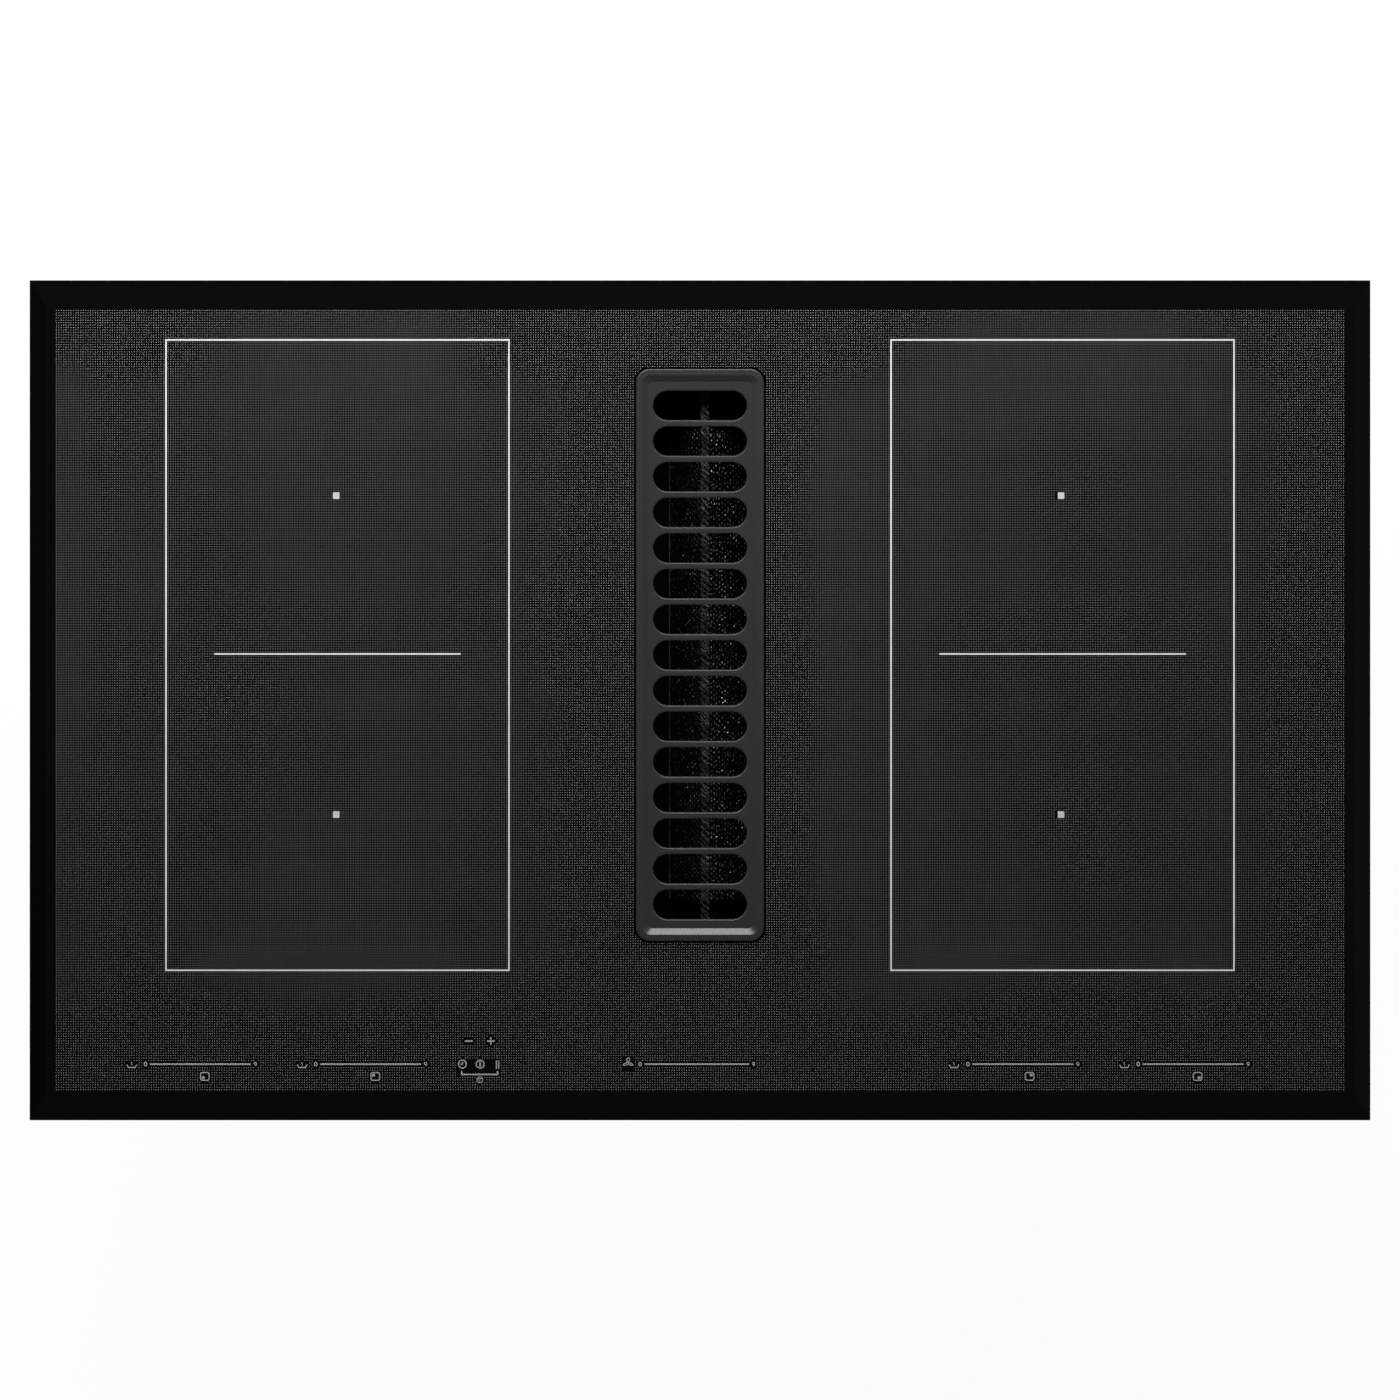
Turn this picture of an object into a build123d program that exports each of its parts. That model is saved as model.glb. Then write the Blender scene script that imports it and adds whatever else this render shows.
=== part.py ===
from build123d import *
from math import acos, cos, degrees, hypot, radians, sin
import os

# Downdraft induction cooktop: a faceted glass top over four coils, a filter cassette under
# a slotted grille in the middle, and a flat scroll fan below the casing.
# Millimetres. X runs to the right, Y to the back and Z up. The worktop's surface is z = 0
# and the origin lies under the middle of the glass.

# ---- Glass top and the opening in the worktop ----
glass_length = 830.0
glass_depth = 520.0
glass_thickness = 4.0
facet_side = 10.0  # ground facet along the left and right edges
facet_front = 17.0  # ground facet along the front and back edges
facet_drop = 1.2
tape_thickness = 1.5
tape_width = 10.0
tape_inset = 3.0
bearing_length = 40.0  # worktop under the glass, left and right of the opening
bearing_depth = 15.0  # worktop under the glass, in front of and behind the opening
cutout_gap = 3.0  # casing to the edge of the opening
least_radius = 1.0  # inner corners of rounded rings

# ---- Steel casing under the glass ----
casing_height = 57.5
casing_sheet = 1.0
casing_radius = 6.0
casing_rim = 2.0  # glued rim, turned outwards
vent_slot_length = 30.0
vent_slot_width = 4.0
vent_slot_web = 6.0
vent_slot_count = 5
rear_vent_height = 14.0

# ---- Grille ----
grille_y = 28.1  # middle of grille, filter and well
grille_width = 79.2
grille_length = 354.0
grille_radius = 8.7
grille_gap = 1.15  # grille to glass
grille_proud = 1.5  # rim above the glass
grille_rim = 3.8
grille_slope = 4.0
grille_dish = 2.0
grille_panel = 2.5
grille_wall = 2.2
slot_length = 58.1
slot_width = 18.2
slot_web = 3.87  # bar between two slots
slot_count = 15
slot_chamfer = 0.7
grille_edge = 0.8  # rounding of the rim's outer edge

# ---- Filter well and filter cassette ----
well_wall = 3.0
well_flange = 6.0
well_flange_thickness = 1.5
ledge_drop = 5.5  # ledge below the underside of the glass
ledge_width = 4.0
ledge_thickness = 3.0
cassette_gap = 0.6
cassette_wall = 1.6
cassette_rim = 2.0
cassette_depth = 44.0
mesh_left_x = -18.7  # foot of the steep left panel
mesh_right_x = 33.0  # foot of the right panel
mesh_front_y = -124.0
mesh_back_y = 169.0
mesh_thickness = 1.2
mesh_rows = 2
mesh_columns = 6
mesh_strand = 2.0
spine_x = 3.0
spine_width = 5.2
spine_drop = 4.0  # spine below the cassette's rim
spine_thickness = 1.6
tab_width = 15.5
tab_depth = 4.0
tab_y = -132.5

# ---- Drip tray ----
tray_height = 48.0
tray_wall = 2.0
tray_gap = 0.5
tray_draft = 5.0
tray_raise = 0.5  # floor of the tray above the foot of the well
seal_height = 3.0
seal_depth = 1.6
seal_gap = 0.1

# ---- Coils ----
coil_side_gap = 52.6  # casing's end to the carriers
coil_back_gap = 21.0  # casing's back to the rear carriers
coil_front_gap = 78.0  # casing's front to the front carriers
coil_margin = 3.0  # winding to the carrier's edge
coil_bore = 22.0
winding_height = 6.0
mica_thickness = 1.0
ferrite_count = 8
ferrite_margin = 6.0  # ferrite bar's ends to the winding's edges
ferrite_width = 14.0
ferrite_height = 5.5
carrier_gap = 5.0
carrier_sheet = 1.5
spring_radius = 4.0
spring_length = 11.0
spring_count = 3
spring_margin = 14.0  # springs inside the winding's edge
sensor_radius = 9.0

# ---- Boards and cooling ----
board_tray_length = 256.0
board_tray_back_gap = 11.0
board_tray_front_gap = 33.0  # front springs to the tray's front wall
board_tray_floor = 2.0
board_tray_wall = 10.0
board_tray_side_gap = 24.0
board_length = 150.0
board_end_gap = 16.0
board_side_gap = 21.0
board_thickness = 1.6
board_rise = 8.0
sink_width = 50.0
sink_length = 250.0
sink_height = 26.0
sink_base = 5.0
fin_count = 8
fin_thickness = 1.6
sink_gap = 3.0
blower_x = 118.0
blower_gap = 11.0  # board tray to the blower
blower_width = 84.0
blower_depth = 76.0
blower_height = 22.0
blower_wall = 1.6
wheel_radius = 30.0
wheel_height = 12.0
wheel_blades = 12
wheel_bore = 1.5
axle_clearance = 0.05
touch_end_gap = 27.0  # casing's end to the touch strip
touch_depth = 30.0
touch_inset = 19.5  # casing's front to the middle of the controls
touch_board_thickness = 1.6
touch_carrier_height = 5.0

# ---- Fan ----
part_foot = -206.5  # surface that the whole part stands on
fan_x = 190.0
fan_y = -20.0
impeller_radius = 92.0
impeller_inner = 74.0
impeller_height = 76.0
impeller_lift = 13.0  # backplate above the foot
blade_count = 24
blade_thickness = 1.4
shroud_height = 3.0
volute_gap = 6.0  # impeller to the tongue side of the volute
volute_step = 18.0  # side of the four-centre square
scroll_wall = 2.5
scroll_height = 111.5
scroll_split = 56.0
scroll_flange = 7.0
scroll_flange_thickness = 3.0
tongue_angle = 45.0
neck_y = 118.0
inlet_radius = 72.0
inlet_lip = 9.0
lip_bulge = 0.87  # share of the lip that its round corner reaches
inlet_wall = 2.0
hood_wall = 2.0
hood_height = 36.5
hood_margin = 12.0
hood_front_y = -120.0
hood_back_y = 160.0
duct_width = 222.0
duct_height = 89.0
duct_wall = 2.5
duct_collar = 30.0
duct_overlap = 14.0
duct_fit = 0.3
shaft_radius = 4.0
motor_radius = 42.0
motor_height = 38.0
motor_flange_radius = 54.0
motor_flange = 3.0
mount_height = 3.0
bearing_radius = 11.0
bearing_width = 7.0
bearing_clearance = 0.03

# ---- Fasteners ----
screw_radius = 2.0
screw_head_radius = 4.0
screw_head = 2.5
screw_gap = 0.3
shank_sides = 8
mount_sides = 10  # rubber mounts and hidden round parts
hex_sides = 6  # screw heads, nuts and standoffs
can_sides = 12  # capacitors and chokes
clamp_width = 36.0
clamp_reach = 18.0
clamp_sheet = 2.0
clamp_arm_drop = 6.0  # clamp arm below the worktop
clamp_screw_inset = 6.0  # clamping screw to the arm's end
clamp_y = 150.0
worktop_thickness = 40.0

# ---- Levels and places worked out from the sizes above ----
glass_under = tape_thickness
glass_face = glass_under + glass_thickness
cutout_length = glass_length - 2 * bearing_length
cutout_depth = glass_depth - 2 * bearing_depth
casing_length = cutout_length - 2 * cutout_gap
casing_depth = cutout_depth - 2 * cutout_gap
casing_foot = glass_under - casing_height
casing_floor = casing_foot + casing_sheet
hole_width = grille_width + 2 * grille_gap
hole_length = grille_length + 2 * grille_gap
hole_radius = grille_radius + grille_gap
rim_face = glass_face + grille_proud
slot_pitch = slot_width + slot_web
vent_slot_pitch = vent_slot_width + vent_slot_web
panel_face = rim_face - grille_dish
ledge_face = glass_under - ledge_drop
skirt_foot = ledge_face + cassette_rim
well_inner_width = hole_width
well_inner_length = hole_length
well_width = well_inner_width + 2 * well_wall
well_length = well_inner_length + 2 * well_wall
cassette_width = well_inner_width - 2 * ledge_width - 2 * cassette_gap
cassette_length = well_inner_length - 2 * ledge_width - 2 * cassette_gap
cassette_foot = ledge_face - cassette_depth
cassette_floor = cassette_foot + cassette_wall
mesh_y = (mesh_front_y + mesh_back_y) / 2
mesh_span = mesh_back_y - mesh_front_y
spine_face = ledge_face - spine_drop
spine_foot = spine_face - spine_thickness
scroll_top = part_foot + scroll_height
hood_top = scroll_top + hood_height
coil_bay_back = casing_depth / 2 - coil_back_gap
coil_bay_front = coil_front_gap - casing_depth / 2
carrier_size = (coil_bay_back - coil_bay_front - carrier_gap) / 2
coil_x = casing_length / 2 - coil_side_gap - carrier_size / 2
coil_y_back = coil_bay_back - carrier_size / 2
coil_y_front = coil_bay_front + carrier_size / 2
coil_radius = carrier_size / 2 - coil_margin
spring_circle = coil_radius - spring_margin
ferrite_length = coil_radius - coil_bore - 2 * ferrite_margin
board_tray_back_y = casing_depth / 2 - board_tray_back_gap
board_tray_front_y = coil_y_front - spring_circle / 2 - board_tray_front_gap
board_tray_depth = board_tray_back_y - board_tray_front_y
board_tray_y = (board_tray_back_y + board_tray_front_y) / 2
board_tray_x = casing_length / 2 - board_tray_side_gap - board_tray_length / 2
board_tray_inner_x = board_tray_x - board_tray_length / 2 + board_tray_floor
board_tray_outer_x = board_tray_x + board_tray_length / 2 - board_tray_floor
board_depth = board_tray_depth - 2 * board_end_gap
board_x = board_tray_outer_x - board_side_gap - board_length / 2
sink_x = board_tray_inner_x + sink_gap + sink_width / 2
blower_y = board_tray_front_y - blower_gap - blower_depth / 2
touch_length = casing_length - 2 * touch_end_gap
touch_y = touch_inset - casing_depth / 2
duct_end_y = casing_depth / 2


def rounded_ring(width, length, radius, wall):
    """Draw a rounded rectangle with the same shape cut out of it, one wall inside."""
    RectangleRounded(width, length, radius)
    RectangleRounded(width - 2 * wall, length - 2 * wall, max(radius - wall, least_radius), mode=Mode.SUBTRACT)


def save(piece, name):
    """Label a finished piece and write it under its own name."""
    piece.part.label = name
    export_step(piece.part, f"parts/{name}.step")


os.makedirs("parts", exist_ok=True)

# ---- Glass top and sealing tape ----
with BuildPart() as glass_top:
    with BuildSketch(Plane.XY.offset(glass_under)):
        Rectangle(glass_length, glass_depth)
    extrude(amount=glass_thickness - facet_drop)
    with BuildSketch(Plane.XY.offset(glass_face - facet_drop)):
        Rectangle(glass_length, glass_depth)
    with BuildSketch(Plane.XY.offset(glass_face)):
        Rectangle(glass_length - 2 * facet_side, glass_depth - 2 * facet_front)
    loft(ruled=True)
    with BuildSketch(Plane.XY.offset(glass_under)):
        with Locations((0, grille_y)):
            RectangleRounded(hole_width, hole_length, hole_radius)
    extrude(amount=glass_thickness, mode=Mode.SUBTRACT)
save(glass_top, "glass_top")

with BuildPart() as sealing_tape:
    with BuildSketch():
        Rectangle(glass_length - 2 * tape_inset, glass_depth - 2 * tape_inset)
        Rectangle(
            glass_length - 2 * (tape_inset + tape_width),
            glass_depth - 2 * (tape_inset + tape_width),
            mode=Mode.SUBTRACT,
        )
    extrude(amount=tape_thickness)
save(sealing_tape, "sealing_tape")

# ---- Grille: a dished panel with a flat rim, sloping flanks and cross slots ----
rim_inner_width = grille_width - 2 * grille_rim
rim_inner_length = grille_length - 2 * grille_rim
panel_width = rim_inner_width - 2 * grille_slope
panel_length = rim_inner_length - 2 * grille_slope
rim_inner_radius = grille_radius - grille_rim
panel_radius = rim_inner_radius / 2

with BuildPart() as grille:
    with BuildSketch(Plane.XY.offset(skirt_foot)):
        with Locations((0, grille_y)):
            RectangleRounded(grille_width, grille_length, grille_radius)
    extrude(amount=rim_face - skirt_foot)
    rim_edge = grille.faces().sort_by(Axis.Z)[-1].edges()
    fillet(rim_edge, radius=grille_edge)
    with BuildSketch(Plane.XY.offset(rim_face)):
        with Locations((0, grille_y)):
            RectangleRounded(rim_inner_width, rim_inner_length, rim_inner_radius)
    with BuildSketch(Plane.XY.offset(panel_face)):
        with Locations((0, grille_y)):
            RectangleRounded(panel_width, panel_length, panel_radius)
    loft(ruled=True, mode=Mode.SUBTRACT)
    with BuildSketch(Plane.XY.offset(skirt_foot)):
        with Locations((0, grille_y)):
            RectangleRounded(
                grille_width - 2 * grille_wall,
                grille_length - 2 * grille_wall,
                grille_radius - grille_wall,
            )
    extrude(amount=panel_face - grille_panel - skirt_foot, mode=Mode.SUBTRACT)
    with BuildSketch(Plane.XY.offset(skirt_foot)):
        with Locations((0, grille_y)):
            with GridLocations(0, slot_pitch, 1, slot_count):
                SlotOverall(slot_length, slot_width)
    extrude(amount=rim_face - skirt_foot, mode=Mode.SUBTRACT)
    panel = grille.faces().filter_by(Axis.Z).sort_by(lambda face: abs(face.center().Z - panel_face))[0]
    slot_edges = panel.inner_wires().edges()
    chamfer(slot_edges, length=slot_chamfer)
save(grille, "grille")

# ---- Filter well: the moulded shaft from the glass down to the drip tray ----
well_radius = hole_radius + well_wall
hood_window_foot = scroll_top + hood_wall
hood_window_top = hood_top - hood_wall
hood_window_depth = hood_back_y - hood_front_y - 2 * hood_wall
hood_mid_y = (hood_front_y + hood_back_y) / 2

with BuildPart() as filter_well:
    with BuildSketch(Plane.XY.offset(part_foot)):
        with Locations((0, grille_y)):
            rounded_ring(well_width, well_length, well_radius, well_wall)
    extrude(amount=glass_under - part_foot)
    with BuildSketch(Plane.XY.offset(glass_under)):
        with Locations((0, grille_y)):
            rounded_ring(
                well_width + 2 * well_flange,
                well_length + 2 * well_flange,
                well_radius + well_flange,
                well_wall + well_flange,
            )
    extrude(amount=-well_flange_thickness)
    with BuildSketch(Plane.XY.offset(ledge_face)):
        with Locations((0, grille_y)):
            rounded_ring(well_width, well_length, well_radius, well_wall + ledge_width)
    extrude(amount=-ledge_thickness)
    with BuildSketch(Plane.XY.offset(hood_window_foot)):
        with Locations((well_width / 2, hood_mid_y)):
            Rectangle(4 * well_wall, hood_window_depth)
    extrude(amount=hood_window_top - hood_window_foot, mode=Mode.SUBTRACT)
save(filter_well, "filter_well")

# ---- Filter cassette: a tub on the ledge, with a ridge of mesh over its floor opening ----
mesh_opening_width = mesh_right_x - mesh_left_x
mesh_mid_x = (mesh_left_x + mesh_right_x) / 2
cassette_radius = hole_radius - ledge_width - cassette_gap

with BuildPart() as filter_frame:
    with BuildSketch(Plane.XY.offset(cassette_foot)):
        with Locations((0, grille_y)):
            RectangleRounded(cassette_width, cassette_length, cassette_radius)
    extrude(amount=ledge_face - cassette_foot)
    with BuildSketch(Plane.XY.offset(ledge_face)):
        with Locations((0, grille_y)):
            RectangleRounded(
                well_inner_width - 2 * cassette_gap,
                well_inner_length - 2 * cassette_gap,
                hole_radius - cassette_gap,
            )
    extrude(amount=cassette_rim)
    with BuildSketch(Plane.XY.offset(cassette_floor)):
        with Locations((0, grille_y)):
            RectangleRounded(
                cassette_width - 2 * cassette_wall,
                cassette_length - 2 * cassette_wall,
                cassette_radius - cassette_wall,
            )
    extrude(amount=skirt_foot - cassette_floor, mode=Mode.SUBTRACT)
    with BuildSketch(Plane.XY.offset(cassette_foot)):
        with Locations((mesh_mid_x, mesh_y)):
            Rectangle(mesh_opening_width, mesh_span)
    extrude(amount=cassette_wall, mode=Mode.SUBTRACT)
    # end plates under the ridge
    for end_y, side in ((mesh_front_y, -1), (mesh_back_y, 1)):
        with BuildSketch(Plane((0, end_y, 0), x_dir=(1, 0, 0), z_dir=(0, side, 0))):
            with BuildLine():
                Polyline(
                    (mesh_left_x, side * -cassette_floor),
                    (spine_x - spine_width / 2, side * -spine_foot),
                    (spine_x + spine_width / 2, side * -spine_foot),
                    (mesh_right_x, side * -cassette_floor),
                    close=True,
                )
            make_face()
        extrude(amount=cassette_wall)
    # lift tab under the front end of the spine
    with BuildSketch(Plane.XY.offset(spine_foot)):
        with Locations((spine_x, tab_y)):
            Rectangle(tab_width, tab_depth)
    extrude(amount=cassette_floor - spine_foot)
save(filter_frame, "filter_frame")


def mesh_panel(foot_x, ridge_x):
    """Build the ribbed frame of a flat mesh panel, from the tub's floor up to the spine."""
    rise = spine_foot - cassette_floor
    run = ridge_x - foot_x
    slant = hypot(rise, run)
    outward = -1 if run > 0 else 1
    plane = Plane(
        ((foot_x + ridge_x) / 2, mesh_y, (cassette_floor + spine_foot) / 2),
        x_dir=(0, 1, 0),
        z_dir=(outward * rise, 0, abs(run)),
    )
    length = mesh_span - 2 * screw_gap
    pitch_long = (length - mesh_strand) / mesh_columns
    pitch_up = (slant - mesh_strand) / mesh_rows
    with BuildPart() as panel:
        with BuildSketch(plane):
            Rectangle(length, slant)
            with GridLocations(pitch_long, pitch_up, mesh_columns, mesh_rows):
                Rectangle(pitch_long - mesh_strand, pitch_up - mesh_strand, mode=Mode.SUBTRACT)
        extrude(amount=-mesh_thickness)
    return panel


mesh_left = mesh_panel(mesh_left_x, spine_x - spine_width / 2)
save(mesh_left, "mesh_left")
mesh_right = mesh_panel(mesh_right_x, spine_x + spine_width / 2)
save(mesh_right, "mesh_right")

spine_length = cassette_length - 2 * cassette_wall
with BuildPart() as filter_spine:
    with BuildSketch(Plane.XY.offset(spine_foot)):
        with Locations((spine_x, grille_y)):
            Rectangle(spine_width, spine_length)
    extrude(amount=spine_thickness)
save(filter_spine, "filter_spine")

# ---- Drip tray: a drafted tub held in the foot of the well by its seal ----
tray_foot = part_foot + tray_raise
tray_top = tray_foot + tray_height
tray_width = well_inner_width - 2 * tray_gap
tray_length = well_inner_length - 2 * tray_gap
tray_radius = hole_radius - tray_gap
seal_top = tray_top - seal_depth
groove_wall = well_inner_width / 2 - seal_gap - seal_depth

with BuildPart() as drip_tray:
    with BuildSketch(Plane.XY.offset(tray_foot)):
        with Locations((0, grille_y)):
            RectangleRounded(tray_width - 2 * tray_draft, tray_length - 2 * tray_draft, tray_radius)
    with BuildSketch(Plane.XY.offset(tray_top)):
        with Locations((0, grille_y)):
            RectangleRounded(tray_width, tray_length, tray_radius)
    loft(ruled=True)
    with BuildSketch(Plane.XY.offset(tray_top)):
        with Locations((0, grille_y)):
            RectangleRounded(tray_width, tray_length, tray_radius)
    extrude(amount=-(seal_height + 2 * seal_depth))
    inner_foot = tray_draft + tray_wall + seal_depth
    inner_top = tray_wall + seal_depth
    with BuildSketch(Plane.XY.offset(tray_foot + tray_wall)):
        with Locations((0, grille_y)):
            RectangleRounded(
                tray_width - 2 * inner_foot,
                tray_length - 2 * inner_foot,
                tray_radius - inner_top,
            )
    with BuildSketch(Plane.XY.offset(tray_top)):
        with Locations((0, grille_y)):
            RectangleRounded(
                tray_width - 2 * inner_top,
                tray_length - 2 * inner_top,
                tray_radius - inner_top,
            )
    loft(ruled=True, mode=Mode.SUBTRACT)
    with BuildSketch(Plane.XY.offset(seal_top)):
        with Locations((0, grille_y)):
            RectangleRounded(tray_width, tray_length, tray_radius)
            RectangleRounded(
                2 * groove_wall,
                well_inner_length - 2 * (seal_gap + seal_depth),
                hole_radius - seal_gap - seal_depth,
                mode=Mode.SUBTRACT,
            )
    extrude(amount=-seal_height, mode=Mode.SUBTRACT)
save(drip_tray, "drip_tray")

with BuildPart() as tray_seal:
    with BuildSketch(Plane.XY.offset(seal_top)):
        with Locations((0, grille_y)):
            rounded_ring(
                well_inner_width - 2 * seal_gap,
                well_inner_length - 2 * seal_gap,
                hole_radius - seal_gap,
                seal_depth,
            )
    extrude(amount=-seal_height)
save(tray_seal, "tray_seal")


# ---- Scroll housing: a four-centre spiral with its outlet neck at the back ----
def spiral_centre(quarter):
    """Give the centre of one quarter turn, a corner of the spiral's small square."""
    half = volute_step / 2
    corners = ((-half, half), (-half, -half), (half, -half), (half, half))
    return fan_x + corners[quarter][0], fan_y + corners[quarter][1]


def spiral_radius(quarter, grow):
    """Give the radius of one quarter turn, one step more each quarter."""
    return impeller_radius + volute_gap + volute_step / 2 + quarter * volute_step + grow


tongue_x = spiral_centre(0)[0] + spiral_radius(0, 0) * cos(radians(tongue_angle))


def volute(grow, end_y):
    """Draw the spiral and its neck, grown outwards, in the sketch that is open."""
    neck_left = tongue_x - grow
    first_x, first_y = spiral_centre(0)
    start = degrees(acos((neck_left - first_x) / spiral_radius(0, grow)))
    tongue = (neck_left, first_y + spiral_radius(0, grow) * sin(radians(start)))
    neck_right = spiral_centre(3)[0] + spiral_radius(3, grow)
    with BuildLine() as outline:
        CenterArc(spiral_centre(0), spiral_radius(0, grow), start, 90 - start)
        for quarter in (1, 2, 3):
            CenterArc(spiral_centre(quarter), spiral_radius(quarter, grow), 90 * quarter, 90)
        Polyline(
            (neck_right, spiral_centre(3)[1]),
            (neck_right, end_y),
            (neck_left, end_y),
            tongue,
        )
    make_face(outline.edges())


neck_left_x = tongue_x - scroll_wall
neck_right_x = spiral_centre(3)[0] + spiral_radius(3, scroll_wall)
split_z = part_foot + scroll_split
flange_end_y = neck_y - duct_overlap
fan_post_radius = 7.0
fan_post_points = ((130.0, -128.0), (295.0, -120.0), (335.0, 0.0), (305.0, 90.0))
flange_screw_angles = (80, 160, 225, 290, 350)
flange_screw_radius = 1.5
flange_screw_head = 3.0


def flange_points():
    """Give the flange screws' places, on the middle line of the flange."""
    points = []
    for turn in flange_screw_angles:
        quarter = turn // 90
        reach = spiral_radius(quarter, scroll_wall + scroll_flange / 2)
        centre_x, centre_y = spiral_centre(quarter)
        points.append((centre_x + reach * cos(radians(turn)), centre_y + reach * sin(radians(turn))))
    return points


with BuildPart() as scroll_lower:
    with BuildSketch(Plane.XY.offset(part_foot)):
        volute(scroll_wall, neck_y)
    extrude(amount=scroll_split)
    with BuildSketch(Plane.XY.offset(split_z)):
        volute(scroll_wall + scroll_flange, flange_end_y)
    extrude(amount=-scroll_flange_thickness)
    with BuildSketch(Plane.XY.offset(part_foot + scroll_wall)):
        volute(0, neck_y + scroll_wall)
    extrude(amount=scroll_split, mode=Mode.SUBTRACT)
    with BuildSketch(Plane.XY.offset(split_z)):
        with Locations(flange_points()):
            RegularPolygon(flange_screw_radius, shank_sides)
    extrude(amount=-scroll_flange_thickness, mode=Mode.SUBTRACT)
save(scroll_lower, "scroll_lower")

with BuildPart() as scroll_upper:
    with BuildSketch(Plane.XY.offset(split_z)):
        volute(scroll_wall, neck_y)
    extrude(amount=scroll_top - split_z)
    with BuildSketch(Plane.XY.offset(split_z)):
        volute(scroll_wall + scroll_flange, flange_end_y)
    extrude(amount=scroll_flange_thickness)
    with BuildSketch(Plane.XY.offset(scroll_top)):
        with Locations(fan_post_points):
            RegularPolygon(fan_post_radius, mount_sides)
    extrude(amount=casing_foot - mount_height - scroll_top)
    with BuildSketch(Plane.XY.offset(split_z)):
        volute(0, neck_y + scroll_wall)
    extrude(amount=scroll_top - scroll_wall - split_z, mode=Mode.SUBTRACT)
    with BuildSketch(Plane.XY.offset(split_z)):
        with Locations((fan_x, fan_y)):
            Circle(inlet_radius + screw_gap)
        with Locations(flange_points()):
            RegularPolygon(flange_screw_radius, shank_sides)
    extrude(amount=scroll_height, mode=Mode.SUBTRACT)
    with BuildSketch(Plane.XY.offset(casing_foot - mount_height)):
        with Locations(fan_post_points):
            RegularPolygon(screw_radius, shank_sides)
    extrude(amount=-3 * screw_head_radius, mode=Mode.SUBTRACT)
save(scroll_upper, "scroll_upper")

# ---- Suction hood: a flat duct from the well's window to the fan's inlet ----
def hood_outline(inset):
    """Draw the hood's plan: a straight mouth at the well, narrowed to the inlet's circle."""
    with BuildLine() as outline:
        Line((well_width / 2, hood_front_y + inset), (well_width / 2, hood_back_y - inset))
        CenterArc((fan_x, fan_y), inlet_radius + hood_margin - inset, -90, 180)
    make_hull(outline.edges())


hood_ear = 8.0
with BuildPart() as suction_hood:
    with BuildSketch(Plane.XY.offset(scroll_top)):
        hood_outline(0)
        with Locations((well_width / 2 + hood_wall / 2, hood_mid_y)):
            Rectangle(hood_wall, hood_back_y - hood_front_y + 2 * hood_ear)
    extrude(amount=hood_height)
    with BuildSketch(Plane.XY.offset(hood_window_foot)):
        hood_outline(hood_wall)
    extrude(amount=hood_window_top - hood_window_foot, mode=Mode.SUBTRACT)
    with BuildSketch(Plane.XY.offset(scroll_top)):
        with Locations((fan_x, fan_y)):
            Circle(inlet_radius + screw_gap)
    extrude(amount=hood_wall, mode=Mode.SUBTRACT)
save(suction_hood, "suction_hood")

# ---- Inlet ring: a bell mouth standing on the hood's floor, its throat over the impeller ----
fan_plane = Plane((fan_x, fan_y, 0), x_dir=(1, 0, 0), z_dir=(0, -1, 0))
impeller_foot = part_foot + impeller_lift
impeller_top = impeller_foot + impeller_height
throat_foot = impeller_top + shroud_height
throat_radius = inlet_radius - inlet_wall
with BuildPart() as inlet_ring:
    with BuildSketch(fan_plane):
        with BuildLine():
            Polyline(
                (throat_radius + inlet_lip, hood_window_foot + inlet_lip),
                (throat_radius + inlet_lip / 2, hood_window_foot + inlet_lip * lip_bulge),
                (throat_radius + inlet_lip * (1 - lip_bulge), hood_window_foot + inlet_lip / 2),
                (throat_radius, hood_window_foot),
                (throat_radius, throat_foot),
                (inlet_radius, throat_foot),
                (inlet_radius, hood_window_foot),
                (throat_radius + inlet_lip, hood_window_foot),
                (throat_radius + inlet_lip, hood_window_foot + inlet_lip),
            )
        make_face()
    revolve(axis=Axis((fan_x, fan_y, 0), (0, 0, 1)))
save(inlet_ring, "inlet_ring")

# ---- Impeller: a domed backplate, forward-bent blades and a shroud ring ----
backplate = 2.0
dome_radius = motor_radius + 6.0
hub_radius = 10.0
hub_height = 14.0
blade_lean = 14.0
motor_foot = part_foot + scroll_wall + mount_height
motor_top = motor_foot + motor_flange + motor_height
dome_under = motor_top + mount_height
dome_corner = 4.0


def on_circle(radius, angle):
    """Give the point of a circle about the fan's axis, in the impeller's own sketch."""
    return radius * cos(radians(angle)), radius * sin(radians(angle))


def blade_face():
    """Give one forward-bent blade in plan, its two faces a thickness apart."""
    inner_turn = degrees(blade_thickness / impeller_inner)
    outer_turn = degrees(blade_thickness / impeller_radius)
    mid_radius = (impeller_inner + impeller_radius) / 2
    with BuildSketch(mode=Mode.PRIVATE) as blade:
        with BuildLine():
            Polyline(
                on_circle(impeller_inner, 0),
                on_circle(mid_radius, blade_lean / 4),
                on_circle(impeller_radius, blade_lean),
                on_circle(impeller_radius, blade_lean + outer_turn),
                on_circle(mid_radius, blade_lean / 4 + inner_turn),
                on_circle(impeller_inner, inner_turn),
                close=True,
            )
        make_face()
    return blade.sketch


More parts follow.
